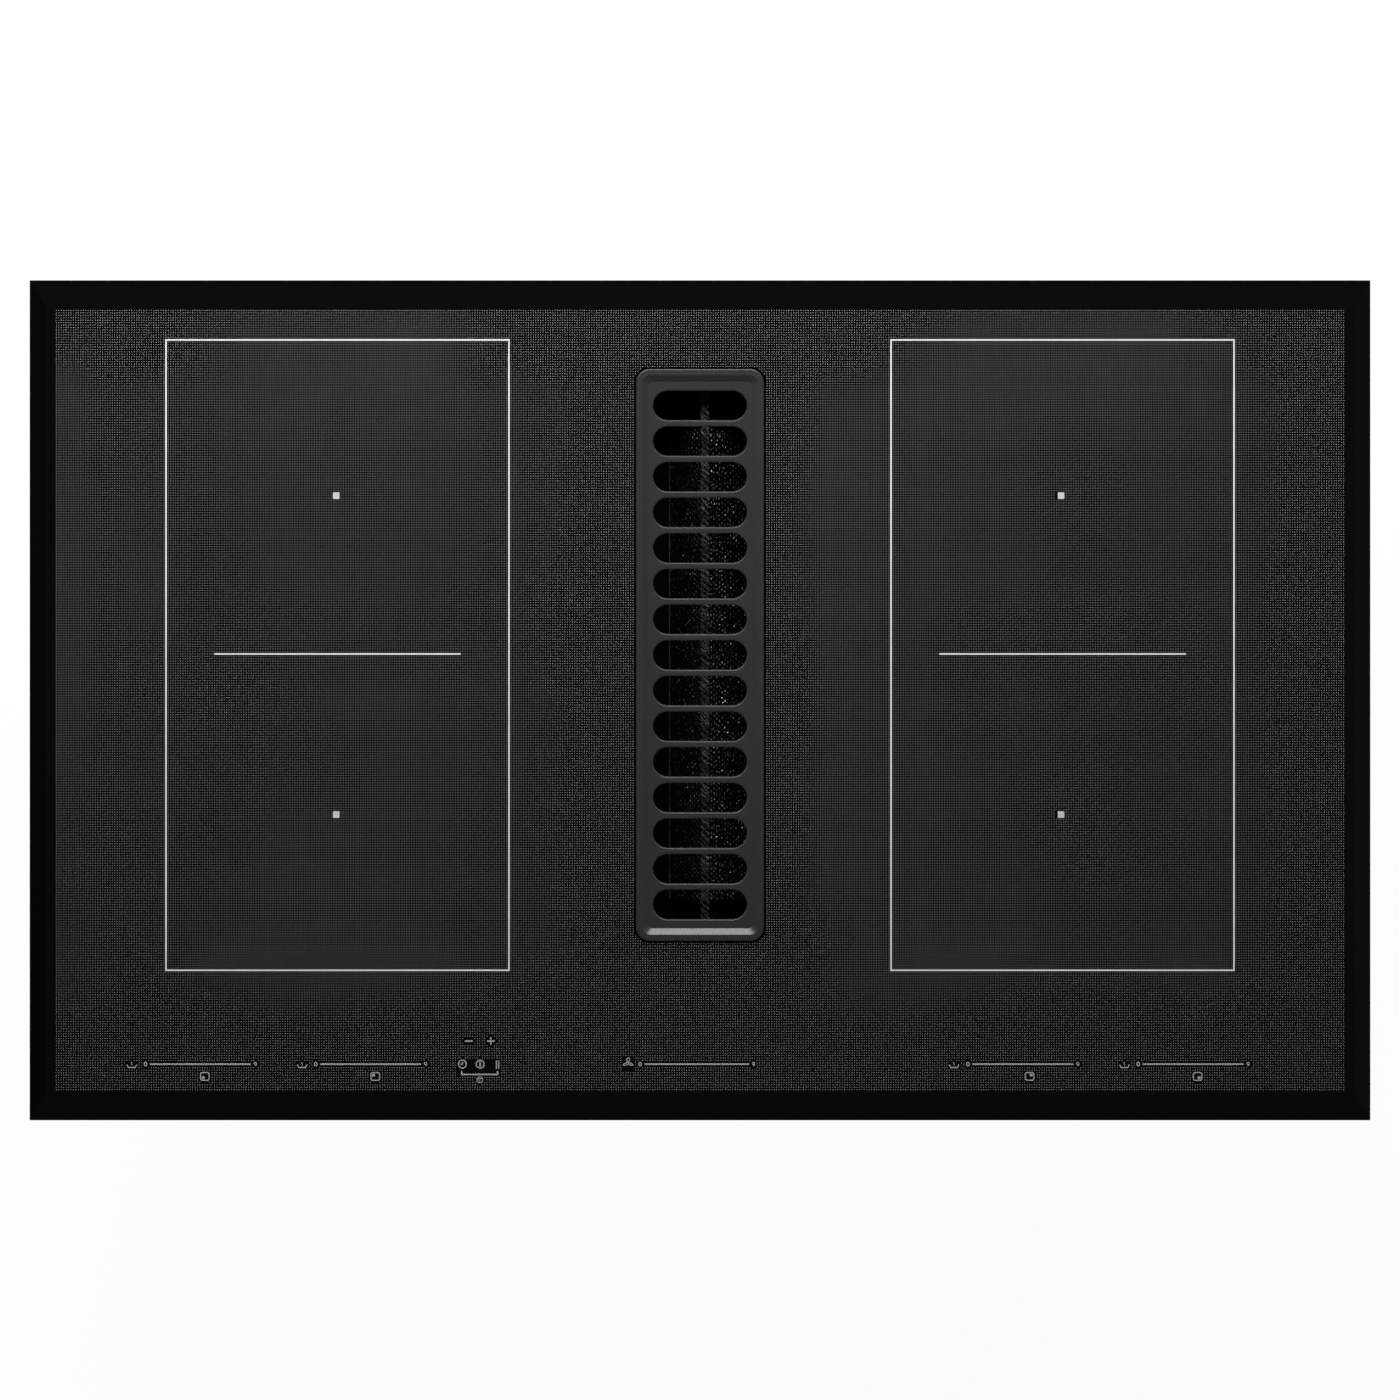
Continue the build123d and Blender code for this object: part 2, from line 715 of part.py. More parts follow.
with BuildPart() as impeller:
    with BuildSketch(fan_plane):
        with BuildLine():
            Polyline(
                (dome_radius, impeller_foot),
                (impeller_radius, impeller_foot),
                (impeller_radius, impeller_foot + backplate),
                (dome_radius + backplate, impeller_foot + backplate),
                (dome_radius + backplate, dome_under - dome_corner + backplate),
                (dome_radius - dome_corner + backplate, dome_under + backplate),
                (hub_radius, dome_under + backplate),
                (hub_radius, dome_under + hub_height),
                (shaft_radius, dome_under + hub_height),
                (shaft_radius, dome_under),
                (dome_radius - dome_corner, dome_under),
                (dome_radius, dome_under - dome_corner),
                close=True,
            )
        make_face()
    revolve(axis=Axis((fan_x, fan_y, 0), (0, 0, 1)))
    with BuildSketch(Plane((fan_x, fan_y, impeller_foot))):
        with PolarLocations(0, blade_count):
            add(blade_face(), mode=Mode.ADD)
    extrude(amount=impeller_height)
    with BuildSketch(Plane((fan_x, fan_y, impeller_top))):
        Circle(impeller_radius)
        Circle((impeller_radius + impeller_inner) / 2, mode=Mode.SUBTRACT)
    extrude(amount=-shroud_height)
save(impeller, "impeller")

with BuildPart() as impeller_shaft:
    with BuildSketch(Plane((fan_x, fan_y, motor_foot + motor_flange / 2))):
        Circle(shaft_radius)
    extrude(amount=dome_under + hub_height - motor_foot - motor_flange / 2)
save(impeller_shaft, "impeller_shaft")

# ---- Motor: a stator can on three rubber mounts, with a bearing at each end ----
mount_inset = 5.5  # screws inside the motor flange's edge
mount_circle = motor_flange_radius - mount_inset
mount_radius = 5.0
motor_turns = 3
with BuildPart() as motor_stator:
    with BuildSketch(fan_plane):
        with BuildLine():
            Polyline(
                (shaft_radius + mount_height / 2, motor_foot),
                (motor_flange_radius, motor_foot),
                (motor_flange_radius, motor_foot + motor_flange),
                (motor_radius, motor_foot + motor_flange),
                (motor_radius, motor_top),
                (bearing_radius, motor_top),
                (bearing_radius, motor_top - bearing_width),
                (shaft_radius + mount_height / 2, motor_top - bearing_width),
                (shaft_radius + mount_height / 2, motor_foot + motor_flange + bearing_width),
                (bearing_radius, motor_foot + motor_flange + bearing_width),
                (bearing_radius, motor_foot + motor_flange),
                (shaft_radius + mount_height / 2, motor_foot + motor_flange),
                close=True,
            )
        make_face()
    revolve(axis=Axis((fan_x, fan_y, 0), (0, 0, 1)))
    with BuildSketch(Plane((fan_x, fan_y, motor_foot))):
        with PolarLocations(mount_circle, motor_turns, start_angle=90):
            RegularPolygon(screw_radius, shank_sides)
    extrude(amount=motor_flange, mode=Mode.SUBTRACT)
save(motor_stator, "motor_stator")

with BuildPart() as shaft_bearings:
    for bearing_foot in (motor_foot + motor_flange, motor_top - bearing_width):
        with BuildSketch(Plane((fan_x, fan_y, bearing_foot))):
            Circle(bearing_radius)
            Circle(shaft_radius + bearing_clearance, mode=Mode.SUBTRACT)
        extrude(amount=bearing_width)
save(shaft_bearings, "shaft_bearings")

with BuildPart() as motor_mounts:
    with BuildSketch(Plane((fan_x, fan_y, motor_foot - mount_height))):
        with PolarLocations(mount_circle, motor_turns, start_angle=90):
            RegularPolygon(mount_radius, mount_sides)
            RegularPolygon(screw_radius, shank_sides, mode=Mode.SUBTRACT)
    extrude(amount=mount_height)
save(motor_mounts, "motor_mounts")

with BuildPart() as motor_screws:
    with BuildSketch(Plane((fan_x, fan_y, motor_foot + motor_flange))):
        with PolarLocations(mount_circle, motor_turns, start_angle=90):
            RegularPolygon(screw_head_radius, hex_sides)
    extrude(amount=screw_head)
    with BuildSketch(Plane((fan_x, fan_y, motor_foot + motor_flange))):
        with PolarLocations(mount_circle, motor_turns, start_angle=90):
            RegularPolygon(screw_radius, shank_sides)
    extrude(amount=-(motor_flange + mount_height))
save(motor_screws, "motor_screws")

with BuildPart() as scroll_screws:
    with BuildSketch(Plane.XY.offset(split_z + scroll_flange_thickness)):
        with Locations(flange_points()):
            RegularPolygon(flange_screw_head, hex_sides)
    extrude(amount=flange_screw_head)
    with BuildSketch(Plane.XY.offset(split_z + scroll_flange_thickness)):
        with Locations(flange_points()):
            RegularPolygon(flange_screw_radius, shank_sides)
    extrude(amount=-2 * scroll_flange_thickness)
save(scroll_screws, "scroll_screws")

# ---- Duct adapter: plugs into the neck and widens to the flat duct's collar ----
neck_width = neck_right_x - neck_left_x
neck_x = (neck_left_x + neck_right_x) / 2
neck_z = (part_foot + scroll_top) / 2
duct_x = neck_right_x - duct_width / 2
duct_z = part_foot + tray_raise + duct_height / 2
adapter_flange = 3.0
cone_start_y = neck_y + adapter_flange
cone_end_y = duct_end_y - duct_collar


def duct_section(x, y, z):
    """Give a plane across the duct, facing the back."""
    return Plane((x, y, z), x_dir=(1, 0, 0), z_dir=(0, 1, 0))


plug_width = neck_width - 2 * (scroll_wall + duct_fit)
plug_height = scroll_height - 2 * (scroll_wall + duct_fit)
with BuildPart() as duct_adapter:
    with BuildSketch(duct_section(neck_x, neck_y - duct_overlap, neck_z)):
        Rectangle(plug_width, plug_height)
    extrude(amount=duct_overlap)
    with BuildSketch(duct_section(neck_x, neck_y, neck_z)):
        Rectangle(neck_width, scroll_height)
    extrude(amount=adapter_flange)
    with BuildSketch(duct_section(neck_x, cone_start_y, neck_z)):
        Rectangle(neck_width, scroll_height)
    with BuildSketch(duct_section(duct_x, cone_end_y, duct_z)):
        Rectangle(duct_width, duct_height)
    loft(ruled=True)
    with BuildSketch(duct_section(duct_x, cone_end_y, duct_z)):
        Rectangle(duct_width, duct_height)
    extrude(amount=duct_collar)
    with BuildSketch(duct_section(neck_x, neck_y - duct_overlap, neck_z)):
        Rectangle(plug_width - 2 * duct_wall, plug_height - 2 * duct_wall)
    extrude(amount=duct_overlap + adapter_flange, mode=Mode.SUBTRACT)
    with BuildSketch(duct_section(neck_x, cone_start_y, neck_z)):
        Rectangle(plug_width - 2 * duct_wall, plug_height - 2 * duct_wall)
    with BuildSketch(duct_section(duct_x, cone_end_y, duct_z)):
        Rectangle(duct_width - 2 * duct_wall, duct_height - 2 * duct_wall)
    loft(ruled=True, mode=Mode.SUBTRACT)
    with BuildSketch(duct_section(duct_x, cone_end_y, duct_z)):
        Rectangle(duct_width - 2 * duct_wall, duct_height - 2 * duct_wall)
    extrude(amount=duct_collar, mode=Mode.SUBTRACT)
save(duct_adapter, "duct_adapter")

# ---- Rubber mounts and screws that hang the scroll housing from the casing ----
with BuildPart() as fan_mounts:
    with BuildSketch(Plane.XY.offset(casing_foot)):
        with Locations(fan_post_points):
            RegularPolygon(fan_post_radius, mount_sides)
            RegularPolygon(screw_radius + screw_gap, shank_sides, mode=Mode.SUBTRACT)
    extrude(amount=-mount_height)
save(fan_mounts, "fan_mounts")

with BuildPart() as fan_screws:
    with BuildSketch(Plane.XY.offset(casing_floor)):
        with Locations(fan_post_points):
            RegularPolygon(screw_head_radius, hex_sides)
    extrude(amount=screw_head)
    with BuildSketch(Plane.XY.offset(casing_floor)):
        with Locations(fan_post_points):
            RegularPolygon(screw_radius, shank_sides)
    extrude(amount=-(casing_sheet + mount_height + 2 * screw_head_radius))
save(fan_screws, "fan_screws")

# ---- Steel casing: a folded tub glued under the glass, with vents below the blowers ----
terminal_length = 60.0
terminal_gap = 8.0  # terminal block to the blower on one side and to the gland on the other
terminal_x = -(blower_x + blower_width / 2 + terminal_gap + terminal_length / 2)
gland_radius = 9.0
gland_flange_radius = 13.0
gland_x = terminal_x - terminal_length / 2 - terminal_gap - gland_flange_radius
gland_flange = 3.0
gland_bore = 5.0
gland_length = 16.0
gland_nut = 5.0
gland_taper = 6.0
rear_vent_x = 250.0
rear_vent_count = 7
rear_vent_width = 6.0
rear_vent_web = 14.0
rear_vent_pitch = rear_vent_width + rear_vent_web

with BuildPart() as lower_casing:
    with BuildSketch(Plane.XY.offset(casing_foot)):
        RectangleRounded(casing_length, casing_depth, casing_radius)
    extrude(amount=casing_height)
    with BuildSketch(Plane.XY.offset(glass_under)):
        RectangleRounded(
            casing_length + 2 * casing_rim,
            casing_depth + 2 * casing_rim,
            casing_radius + casing_rim,
        )
    extrude(amount=-casing_sheet)
    with BuildSketch(Plane.XY.offset(casing_floor)):
        RectangleRounded(
            casing_length - 2 * casing_sheet,
            casing_depth - 2 * casing_sheet,
            casing_radius - casing_sheet,
        )
    extrude(amount=casing_height, mode=Mode.SUBTRACT)
    with BuildSketch(Plane.XY.offset(casing_foot)):
        with Locations((0, grille_y)):
            RectangleRounded(
                well_width + 2 * screw_gap,
                well_length + 2 * screw_gap,
                well_radius + screw_gap,
            )
        with Locations(fan_post_points):
            RegularPolygon(screw_radius + screw_gap, shank_sides)
        with Locations((gland_x, blower_y)):
            Circle(gland_radius)
        for side in (-1, 1):
            with Locations((side * blower_x, blower_y)):
                with GridLocations(vent_slot_pitch, 0, vent_slot_count, 1):
                    Rectangle(vent_slot_width, vent_slot_length)
    extrude(amount=casing_sheet, mode=Mode.SUBTRACT)
    with BuildSketch(Plane.XZ.offset(-casing_depth / 2)):
        with Locations((-rear_vent_x, casing_foot / 2), (rear_vent_x, casing_foot / 2)):
            with GridLocations(rear_vent_pitch, 0, rear_vent_count, 1):
                Rectangle(rear_vent_width, rear_vent_height)
    extrude(amount=casing_sheet, mode=Mode.SUBTRACT)
save(lower_casing, "lower_casing")

with BuildPart() as cable_gland:
    with BuildSketch(Plane.XY.offset(casing_foot)):
        with Locations((gland_x, blower_y)):
            RegularPolygon(gland_flange_radius, hex_sides)
    extrude(amount=-gland_flange)
    with BuildSketch(Plane.XY.offset(casing_foot - gland_flange)):
        with Locations((gland_x, blower_y)):
            Circle(gland_radius + gland_flange / 2)
    extrude(amount=-gland_length, taper=gland_taper)
    with BuildSketch(Plane.XY.offset(casing_foot)):
        with Locations((gland_x, blower_y)):
            Circle(gland_radius)
    extrude(amount=casing_sheet)
    with BuildSketch(Plane.XY.offset(casing_floor)):
        with Locations((gland_x, blower_y)):
            RegularPolygon(gland_flange_radius, hex_sides)
    extrude(amount=gland_nut)
    with BuildSketch(Plane.XY.offset(casing_floor + gland_nut)):
        with Locations((gland_x, blower_y)):
            Circle(gland_bore)
    extrude(amount=-casing_height, mode=Mode.SUBTRACT)
save(cable_gland, "cable_gland")

terminal_depth = 18.0
terminal_height = 18.0
terminal_ways = 5
terminal_bore = 2.5
terminal_web = 6.0
terminal_pitch = 2 * terminal_bore + terminal_web
with BuildPart() as terminal_block:
    with BuildSketch(Plane.XY.offset(casing_floor)):
        with Locations((terminal_x, blower_y)):
            Rectangle(terminal_length, terminal_depth)
    extrude(amount=terminal_height)
    with BuildSketch(Plane.XY.offset(casing_floor + terminal_height)):
        with Locations((terminal_x, blower_y)):
            with GridLocations(terminal_pitch, 0, terminal_ways, 1):
                Rectangle(2 * terminal_bore, 2 * terminal_bore)
    extrude(amount=-terminal_height / 2, mode=Mode.SUBTRACT)
save(terminal_block, "terminal_block")

# ---- Worktop clamps: folded brackets on the casing's ends, each with a clamping screw ----
clamp_arm_z = -worktop_thickness - clamp_arm_drop
clamp_screw_x = casing_length / 2 + clamp_reach - clamp_screw_inset
clamp_points = [
    (side * clamp_screw_x, row * clamp_y) for side in (-1, 1) for row in (-1, 1)
]
with BuildPart() as worktop_clamps:
    for side in (-1, 1):
        for row in (-1, 1):
            plate_x = side * (casing_length / 2 + clamp_sheet / 2)
            arm_x = side * (casing_length / 2 + clamp_reach / 2)
            with BuildSketch(Plane.XY.offset(casing_foot)):
                with Locations((plate_x, row * clamp_y)):
                    Rectangle(clamp_sheet, clamp_width)
            extrude(amount=casing_height / 2)
            with BuildSketch(Plane.XY.offset(clamp_arm_z)):
                with Locations((arm_x, row * clamp_y)):
                    Rectangle(clamp_reach, clamp_width)
            extrude(amount=-clamp_sheet)
    with BuildSketch(Plane.XY.offset(clamp_arm_z)):
        with Locations(clamp_points):
            RegularPolygon(screw_radius, shank_sides)
    extrude(amount=-clamp_sheet, mode=Mode.SUBTRACT)
save(worktop_clamps, "worktop_clamps")

with BuildPart() as clamp_screws:
    with BuildSketch(Plane.XY.offset(-worktop_thickness)):
        with Locations(clamp_points):
            RegularPolygon(screw_radius, shank_sides)
    extrude(amount=clamp_arm_z - 4 * clamp_sheet + worktop_thickness)
    with BuildSketch(Plane.XY.offset(clamp_arm_z - 4 * clamp_sheet)):
        with Locations(clamp_points):
            RegularPolygon(screw_head_radius, hex_sides)
    extrude(amount=screw_head)
save(clamp_screws, "clamp_screws")

# ---- Coils: mica, winding, ferrite bars, sensor and aluminium carrier, pressed up by springs ----
mica_foot = glass_under - mica_thickness
winding_foot = mica_foot - winding_height
ferrite_foot = winding_foot - ferrite_height
carrier_foot = ferrite_foot - carrier_sheet
spring_foot = carrier_foot - spring_length
coil_places = {
    "left_back": (-coil_x, coil_y_back),
    "left_front": (-coil_x, coil_y_front),
    "right_back": (coil_x, coil_y_back),
    "right_front": (coil_x, coil_y_front),
}
carrier_radius = 12.0
ferrite_circle = (coil_bore + coil_radius) / 2
winding_grooves = 2
groove_width = 2.0
groove_depth = 1.5

for place, (x, y) in coil_places.items():
    with BuildPart() as coil_winding:
        with BuildSketch(Plane((x, y, winding_foot))):
            Circle(coil_radius)
            Circle(coil_bore, mode=Mode.SUBTRACT)
        extrude(amount=winding_height)
        with BuildSketch(Plane((x, y, mica_foot))):
            for groove in range(1, winding_grooves + 1):
                middle = coil_bore + groove * (coil_radius - coil_bore) / (winding_grooves + 1)
                Circle(middle + groove_width / 2)
                Circle(middle - groove_width / 2, mode=Mode.SUBTRACT)
        extrude(amount=-groove_depth, mode=Mode.SUBTRACT)
    save(coil_winding, f"coil_winding_{place}")

    with BuildPart() as coil_ferrites:
        with BuildSketch(Plane((x, y, ferrite_foot))):
            with PolarLocations(ferrite_circle, ferrite_count):
                Rectangle(ferrite_length, ferrite_width)
        extrude(amount=ferrite_height)
    save(coil_ferrites, f"coil_ferrites_{place}")

    with BuildPart() as coil_carrier:
        with BuildSketch(Plane((x, y, carrier_foot))):
            RectangleRounded(carrier_size, carrier_size, carrier_radius)
            with PolarLocations(ferrite_circle, ferrite_count, start_angle=180 / ferrite_count):
                Rectangle(ferrite_length / 2, ferrite_width / 2, mode=Mode.SUBTRACT)
        extrude(amount=carrier_sheet)
    save(coil_carrier, f"coil_carrier_{place}")

with BuildPart() as mica_sheets:
    with BuildSketch(Plane.XY.offset(mica_foot)):
        with Locations(*coil_places.values()):
            Rectangle(2 * coil_radius, 2 * coil_radius)
            RegularPolygon(coil_bore / 2, shank_sides, mode=Mode.SUBTRACT)
    extrude(amount=mica_thickness)
save(mica_sheets, "mica_sheets")

with BuildPart() as coil_sensors:
    with BuildSketch(Plane.XY.offset(ferrite_foot)):
        with Locations(*coil_places.values()):
            Circle(sensor_radius)
    extrude(amount=glass_under - ferrite_foot)
save(coil_sensors, "coil_sensors")

with BuildPart() as coil_springs:
    with BuildSketch(Plane.XY.offset(spring_foot)):
        with Locations(*coil_places.values()):
            with PolarLocations(spring_circle, spring_count, start_angle=90):
                RegularPolygon(spring_radius, shank_sides)
    extrude(amount=spring_length)
save(coil_springs, "coil_springs")

# ---- Electronics on each side: tray, power board, its parts, heat sink and blower ----
board_foot = casing_floor + board_tray_floor + board_rise
board_face = board_foot + board_thickness
board_y = board_tray_y
standoff_radius = 4.0
post_radius = 5.0
blower_top = casing_floor + blower_height
blower_inner_top = blower_top - blower_wall
blower_inlet = 24.0
blower_hub_radius = 14.0
blower_hub = 4.0
wheel_head_gap = 1.0  # wheel below the motor's hub
wheel_top = blower_inner_top - blower_hub - wheel_head_gap
wheel_foot = wheel_top - wheel_height
wheel_plate = 1.2
wheel_hub_radius = 5.0
wheel_blade_depth = 6.0
wheel_blade_thickness = 1.0
capacitor_radius = 13.0
capacitor_height = 22.0
choke_radius = 16.0
choke_bore = 6.0
choke_height = 14.0
relay_length = 28.0
relay_depth = 14.0
relay_height = 16.0
standoff_share = 0.44  # standoffs, as a share of the board from its middle
choke_share = 0.34
relay_share = 0.3
spread_share = 0.6  # left and right parts, as a share of the board's length

for name, side in (("left", -1), ("right", 1)):
    spring_posts = [
        (
            side * coil_x + spring_circle * cos(radians(90 + turn * 360 / spring_count)),
            y + spring_circle * sin(radians(90 + turn * 360 / spring_count)),
        )
        for y in (coil_y_back, coil_y_front)
        for turn in range(spring_count)
    ]
    standoffs = [
        (
            side * board_x + across * board_length * standoff_share,
            board_y + along * board_depth * standoff_share,
        )
        for across in (-1, 1)
        for along in (-1, 0, 1)
    ]

    with BuildPart() as board_tray:
        with BuildSketch(Plane.XY.offset(casing_floor)):
            with Locations((side * board_tray_x, board_tray_y)):
                Rectangle(board_tray_length, board_tray_depth)
        extrude(amount=board_tray_wall)
        with BuildSketch(Plane.XY.offset(casing_floor + board_tray_floor)):
            with Locations((side * board_tray_x, board_tray_y)):
                Rectangle(
                    board_tray_length - 2 * board_tray_floor,
                    board_tray_depth - 2 * board_tray_floor,
                )
        extrude(amount=board_tray_wall, mode=Mode.SUBTRACT)
        with BuildSketch(Plane.XY.offset(casing_floor)):
            with Locations(*spring_posts):
                RegularPolygon(post_radius, shank_sides)
        extrude(amount=spring_foot - casing_floor)
        with BuildSketch(Plane.XY.offset(casing_floor)):
            with Locations(*standoffs):
                RegularPolygon(standoff_radius, hex_sides)
        extrude(amount=board_foot - casing_floor)
        with BuildSketch(Plane.XY.offset(casing_floor)):
            with Locations(fan_post_points):
                RegularPolygon(screw_head_radius + screw_gap, hex_sides)
        extrude(amount=board_tray_floor, mode=Mode.SUBTRACT)
    save(board_tray, f"board_tray_{name}")

    with BuildPart() as power_board:
        with BuildSketch(Plane.XY.offset(board_foot)):
            with Locations((side * board_x, board_y)):
                Rectangle(board_length, board_depth)
            with Locations(*spring_posts):
                RegularPolygon(post_radius + screw_gap, shank_sides, mode=Mode.SUBTRACT)
        extrude(amount=board_thickness)
    save(power_board, f"power_board_{name}")

    with BuildPart() as power_parts:
        with BuildSketch(Plane.XY.offset(board_face)):
            with Locations((side * board_x, board_y)):
                with GridLocations(board_length / 2, 1.5 * capacitor_radius * 2, 2, 2):
                    RegularPolygon(capacitor_radius, can_sides)
        extrude(amount=capacitor_height)
        with BuildSketch(Plane.XY.offset(board_face)):
            with Locations((side * board_x, board_y + board_depth * choke_share)):
                with GridLocations(board_length * spread_share, 0, 2, 1):
                    RegularPolygon(choke_radius, can_sides)
                    RegularPolygon(choke_bore, hex_sides, mode=Mode.SUBTRACT)
        extrude(amount=choke_height)
        with BuildSketch(Plane.XY.offset(board_face)):
            with Locations((side * board_x, board_y - board_depth * relay_share)):
                with GridLocations(board_length * spread_share, 2 * relay_depth, 2, 2):
                    Rectangle(relay_length, relay_depth)
        extrude(amount=relay_height)
    save(power_parts, f"power_parts_{name}")

    with BuildPart() as heat_sink:
        with BuildSketch(Plane((side * sink_x, board_y, casing_floor + board_tray_floor))):
            Rectangle(sink_width, sink_length)
        extrude(amount=sink_base)
        fin_pitch = (sink_width - fin_thickness) / (fin_count - 1)
        with BuildSketch(Plane((side * sink_x, board_y, casing_floor + board_tray_floor))):
            with GridLocations(fin_pitch, 0, fin_count, 1):
                Rectangle(fin_thickness, sink_length)
        extrude(amount=sink_height)
    save(heat_sink, f"heat_sink_{name}")

    with BuildPart() as blower_housing:
        with BuildSketch(Plane((side * blower_x, blower_y, casing_floor))):
            RectangleRounded(blower_width, blower_depth, casing_radius)
        extrude(amount=blower_height)
        with BuildSketch(Plane((side * blower_x, blower_y, casing_floor + blower_wall))):
            with Locations((0, blower_wall)):
                Rectangle(blower_width - 2 * blower_wall, blower_depth)
        extrude(amount=blower_height - 2 * blower_wall, mode=Mode.SUBTRACT)
        with BuildSketch(Plane((side * blower_x, blower_y, casing_floor))):
            Circle(blower_inlet)
        extrude(amount=blower_wall, mode=Mode.SUBTRACT)
        with BuildSketch(Plane((side * blower_x, blower_y, blower_inner_top))):
            Circle(blower_hub_radius)
        extrude(amount=-blower_hub)
        with BuildSketch(Plane((side * blower_x, blower_y, blower_inner_top))):
            Circle(wheel_bore)
        extrude(amount=wheel_foot - blower_inner_top)
    save(blower_housing, f"blower_housing_{name}")

    with BuildPart() as blower_wheel:
        with BuildSketch(Plane((side * blower_x, blower_y, wheel_top))):
            Circle(wheel_radius)
        extrude(amount=-wheel_plate)
        with BuildSketch(Plane((side * blower_x, blower_y, wheel_top))):
            Circle(wheel_hub_radius)
            with PolarLocations(wheel_radius - wheel_blade_depth / 2, wheel_blades):
                Rectangle(wheel_blade_depth, wheel_blade_thickness, rotation=30)
        extrude(amount=-wheel_height)
        with BuildSketch(Plane((side * blower_x, blower_y, wheel_top))):
            Circle(wheel_bore + axle_clearance)
        extrude(amount=-wheel_height, mode=Mode.SUBTRACT)
    save(blower_wheel, f"blower_wheel_{name}")

# ---- Touch controls: a light carrier glued under the glass, with the touch board below it ----
light_wells = 10
light_well_length = 44.0
light_well_depth = 8.0
with BuildPart() as touch_carrier:
    with BuildSketch(Plane((0, touch_y, glass_under))):
        Rectangle(touch_length, touch_depth)
        with GridLocations(touch_length / light_wells, 0, light_wells, 1):
            Rectangle(light_well_length, light_well_depth, mode=Mode.SUBTRACT)
    extrude(amount=-touch_carrier_height)
save(touch_carrier, "touch_carrier")

with BuildPart() as touch_board:
    with BuildSketch(Plane((0, touch_y, glass_under - touch_carrier_height))):
        Rectangle(touch_length, touch_depth)
    extrude(amount=-touch_board_thickness)
save(touch_board, "touch_board")
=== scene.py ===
from math import cos, pi, radians, sin

import bpy
import numpy as np
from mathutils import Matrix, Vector


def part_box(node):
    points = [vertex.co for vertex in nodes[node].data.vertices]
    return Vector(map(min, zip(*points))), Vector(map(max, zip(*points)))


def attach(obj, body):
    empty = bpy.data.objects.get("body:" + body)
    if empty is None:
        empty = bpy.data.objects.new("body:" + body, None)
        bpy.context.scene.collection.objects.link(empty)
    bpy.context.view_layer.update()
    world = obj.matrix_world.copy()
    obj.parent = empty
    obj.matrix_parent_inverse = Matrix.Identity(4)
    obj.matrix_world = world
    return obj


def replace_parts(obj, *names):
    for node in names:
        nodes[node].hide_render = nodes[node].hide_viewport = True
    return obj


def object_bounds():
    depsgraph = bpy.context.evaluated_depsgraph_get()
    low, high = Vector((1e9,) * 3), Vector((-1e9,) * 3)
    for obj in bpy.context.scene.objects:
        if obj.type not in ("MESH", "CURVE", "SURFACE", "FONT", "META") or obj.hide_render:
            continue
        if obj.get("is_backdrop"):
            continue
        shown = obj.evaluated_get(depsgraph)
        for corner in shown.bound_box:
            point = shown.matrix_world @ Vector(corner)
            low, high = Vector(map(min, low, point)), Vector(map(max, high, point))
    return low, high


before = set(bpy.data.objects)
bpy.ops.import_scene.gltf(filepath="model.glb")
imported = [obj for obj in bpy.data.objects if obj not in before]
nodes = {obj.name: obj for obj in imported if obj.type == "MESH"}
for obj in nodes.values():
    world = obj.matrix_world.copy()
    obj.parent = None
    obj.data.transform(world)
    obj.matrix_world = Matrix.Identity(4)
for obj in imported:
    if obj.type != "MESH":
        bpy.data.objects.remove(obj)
cadLow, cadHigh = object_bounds()
mm = 0.001
print("frame loaded:", len(nodes), "nodes")


class Wire:
    # one shader output, with operators that add Math nodes
    def __init__(self, wiring, socket):
        self.wiring = wiring
        self.socket = socket

    def math(self, operation, *values):
        return self.wiring.node("ShaderNodeMath", {"operation": operation}, dict(enumerate(values)))

    def __add__(self, other):
        return self.math("ADD", self, other)

    __radd__ = __add__

    def __sub__(self, other):
        return self.math("SUBTRACT", self, other)

    def __rsub__(self, other):
        return self.math("SUBTRACT", other, self)

    def __mul__(self, other):
        return self.math("MULTIPLY", self, other)

    __rmul__ = __mul__

    def __truediv__(self, other):
        return self.math("DIVIDE", self, other)

    def __rtruediv__(self, other):
        return self.math("DIVIDE", other, self)

    def between(self, low, high, first=0.0, last=1.0):
        # the value's way from low to high, held to 0..1, eased, and laid out from first to last
        settings = {"interpolation_type": "SMOOTHSTEP"}
        return self.wiring.node("ShaderNodeMapRange", settings, {0: self, 1: low, 2: high, 3: first, 4: last})


class Wiring:
    # a node tree that takes constants and wires alike
    def __init__(self, tree):
        self.tree = tree

    def node(self, kind, settings=None, inputs=None, out=0):
        made = self.tree.nodes.new(kind)
        for key, value in (settings or {}).items():
            if key == "stops":
                ramp = made.color_ramp
                while len(ramp.elements) < len(value):
                    ramp.elements.new(0.5)
                for stop, (position, shade) in zip(ramp.elements, value):
                    stop.position = position
                    stop.color = colour(shade)
            else:
                setattr(made, key, value)
        for key, value in (inputs or {}).items():
            self.join(made.inputs[key], value)
        return Wire(self, made.outputs[out]) if len(made.outputs) else made

    def join(self, socket, value):
        if isinstance(value, Wire):
            self.tree.links.new(value.socket, socket)
        elif hasattr(socket.default_value, "__len__"):
            socket.default_value = colour(value) if len(socket.default_value) == 4 else value
        else:
            socket.default_value = value


shaderSockets = {
    "base": "Base Color", "rough": "Roughness", "metal": "Metallic", "normal": "Normal", "ior": "IOR",
    "specular": "Specular IOR Level",
}


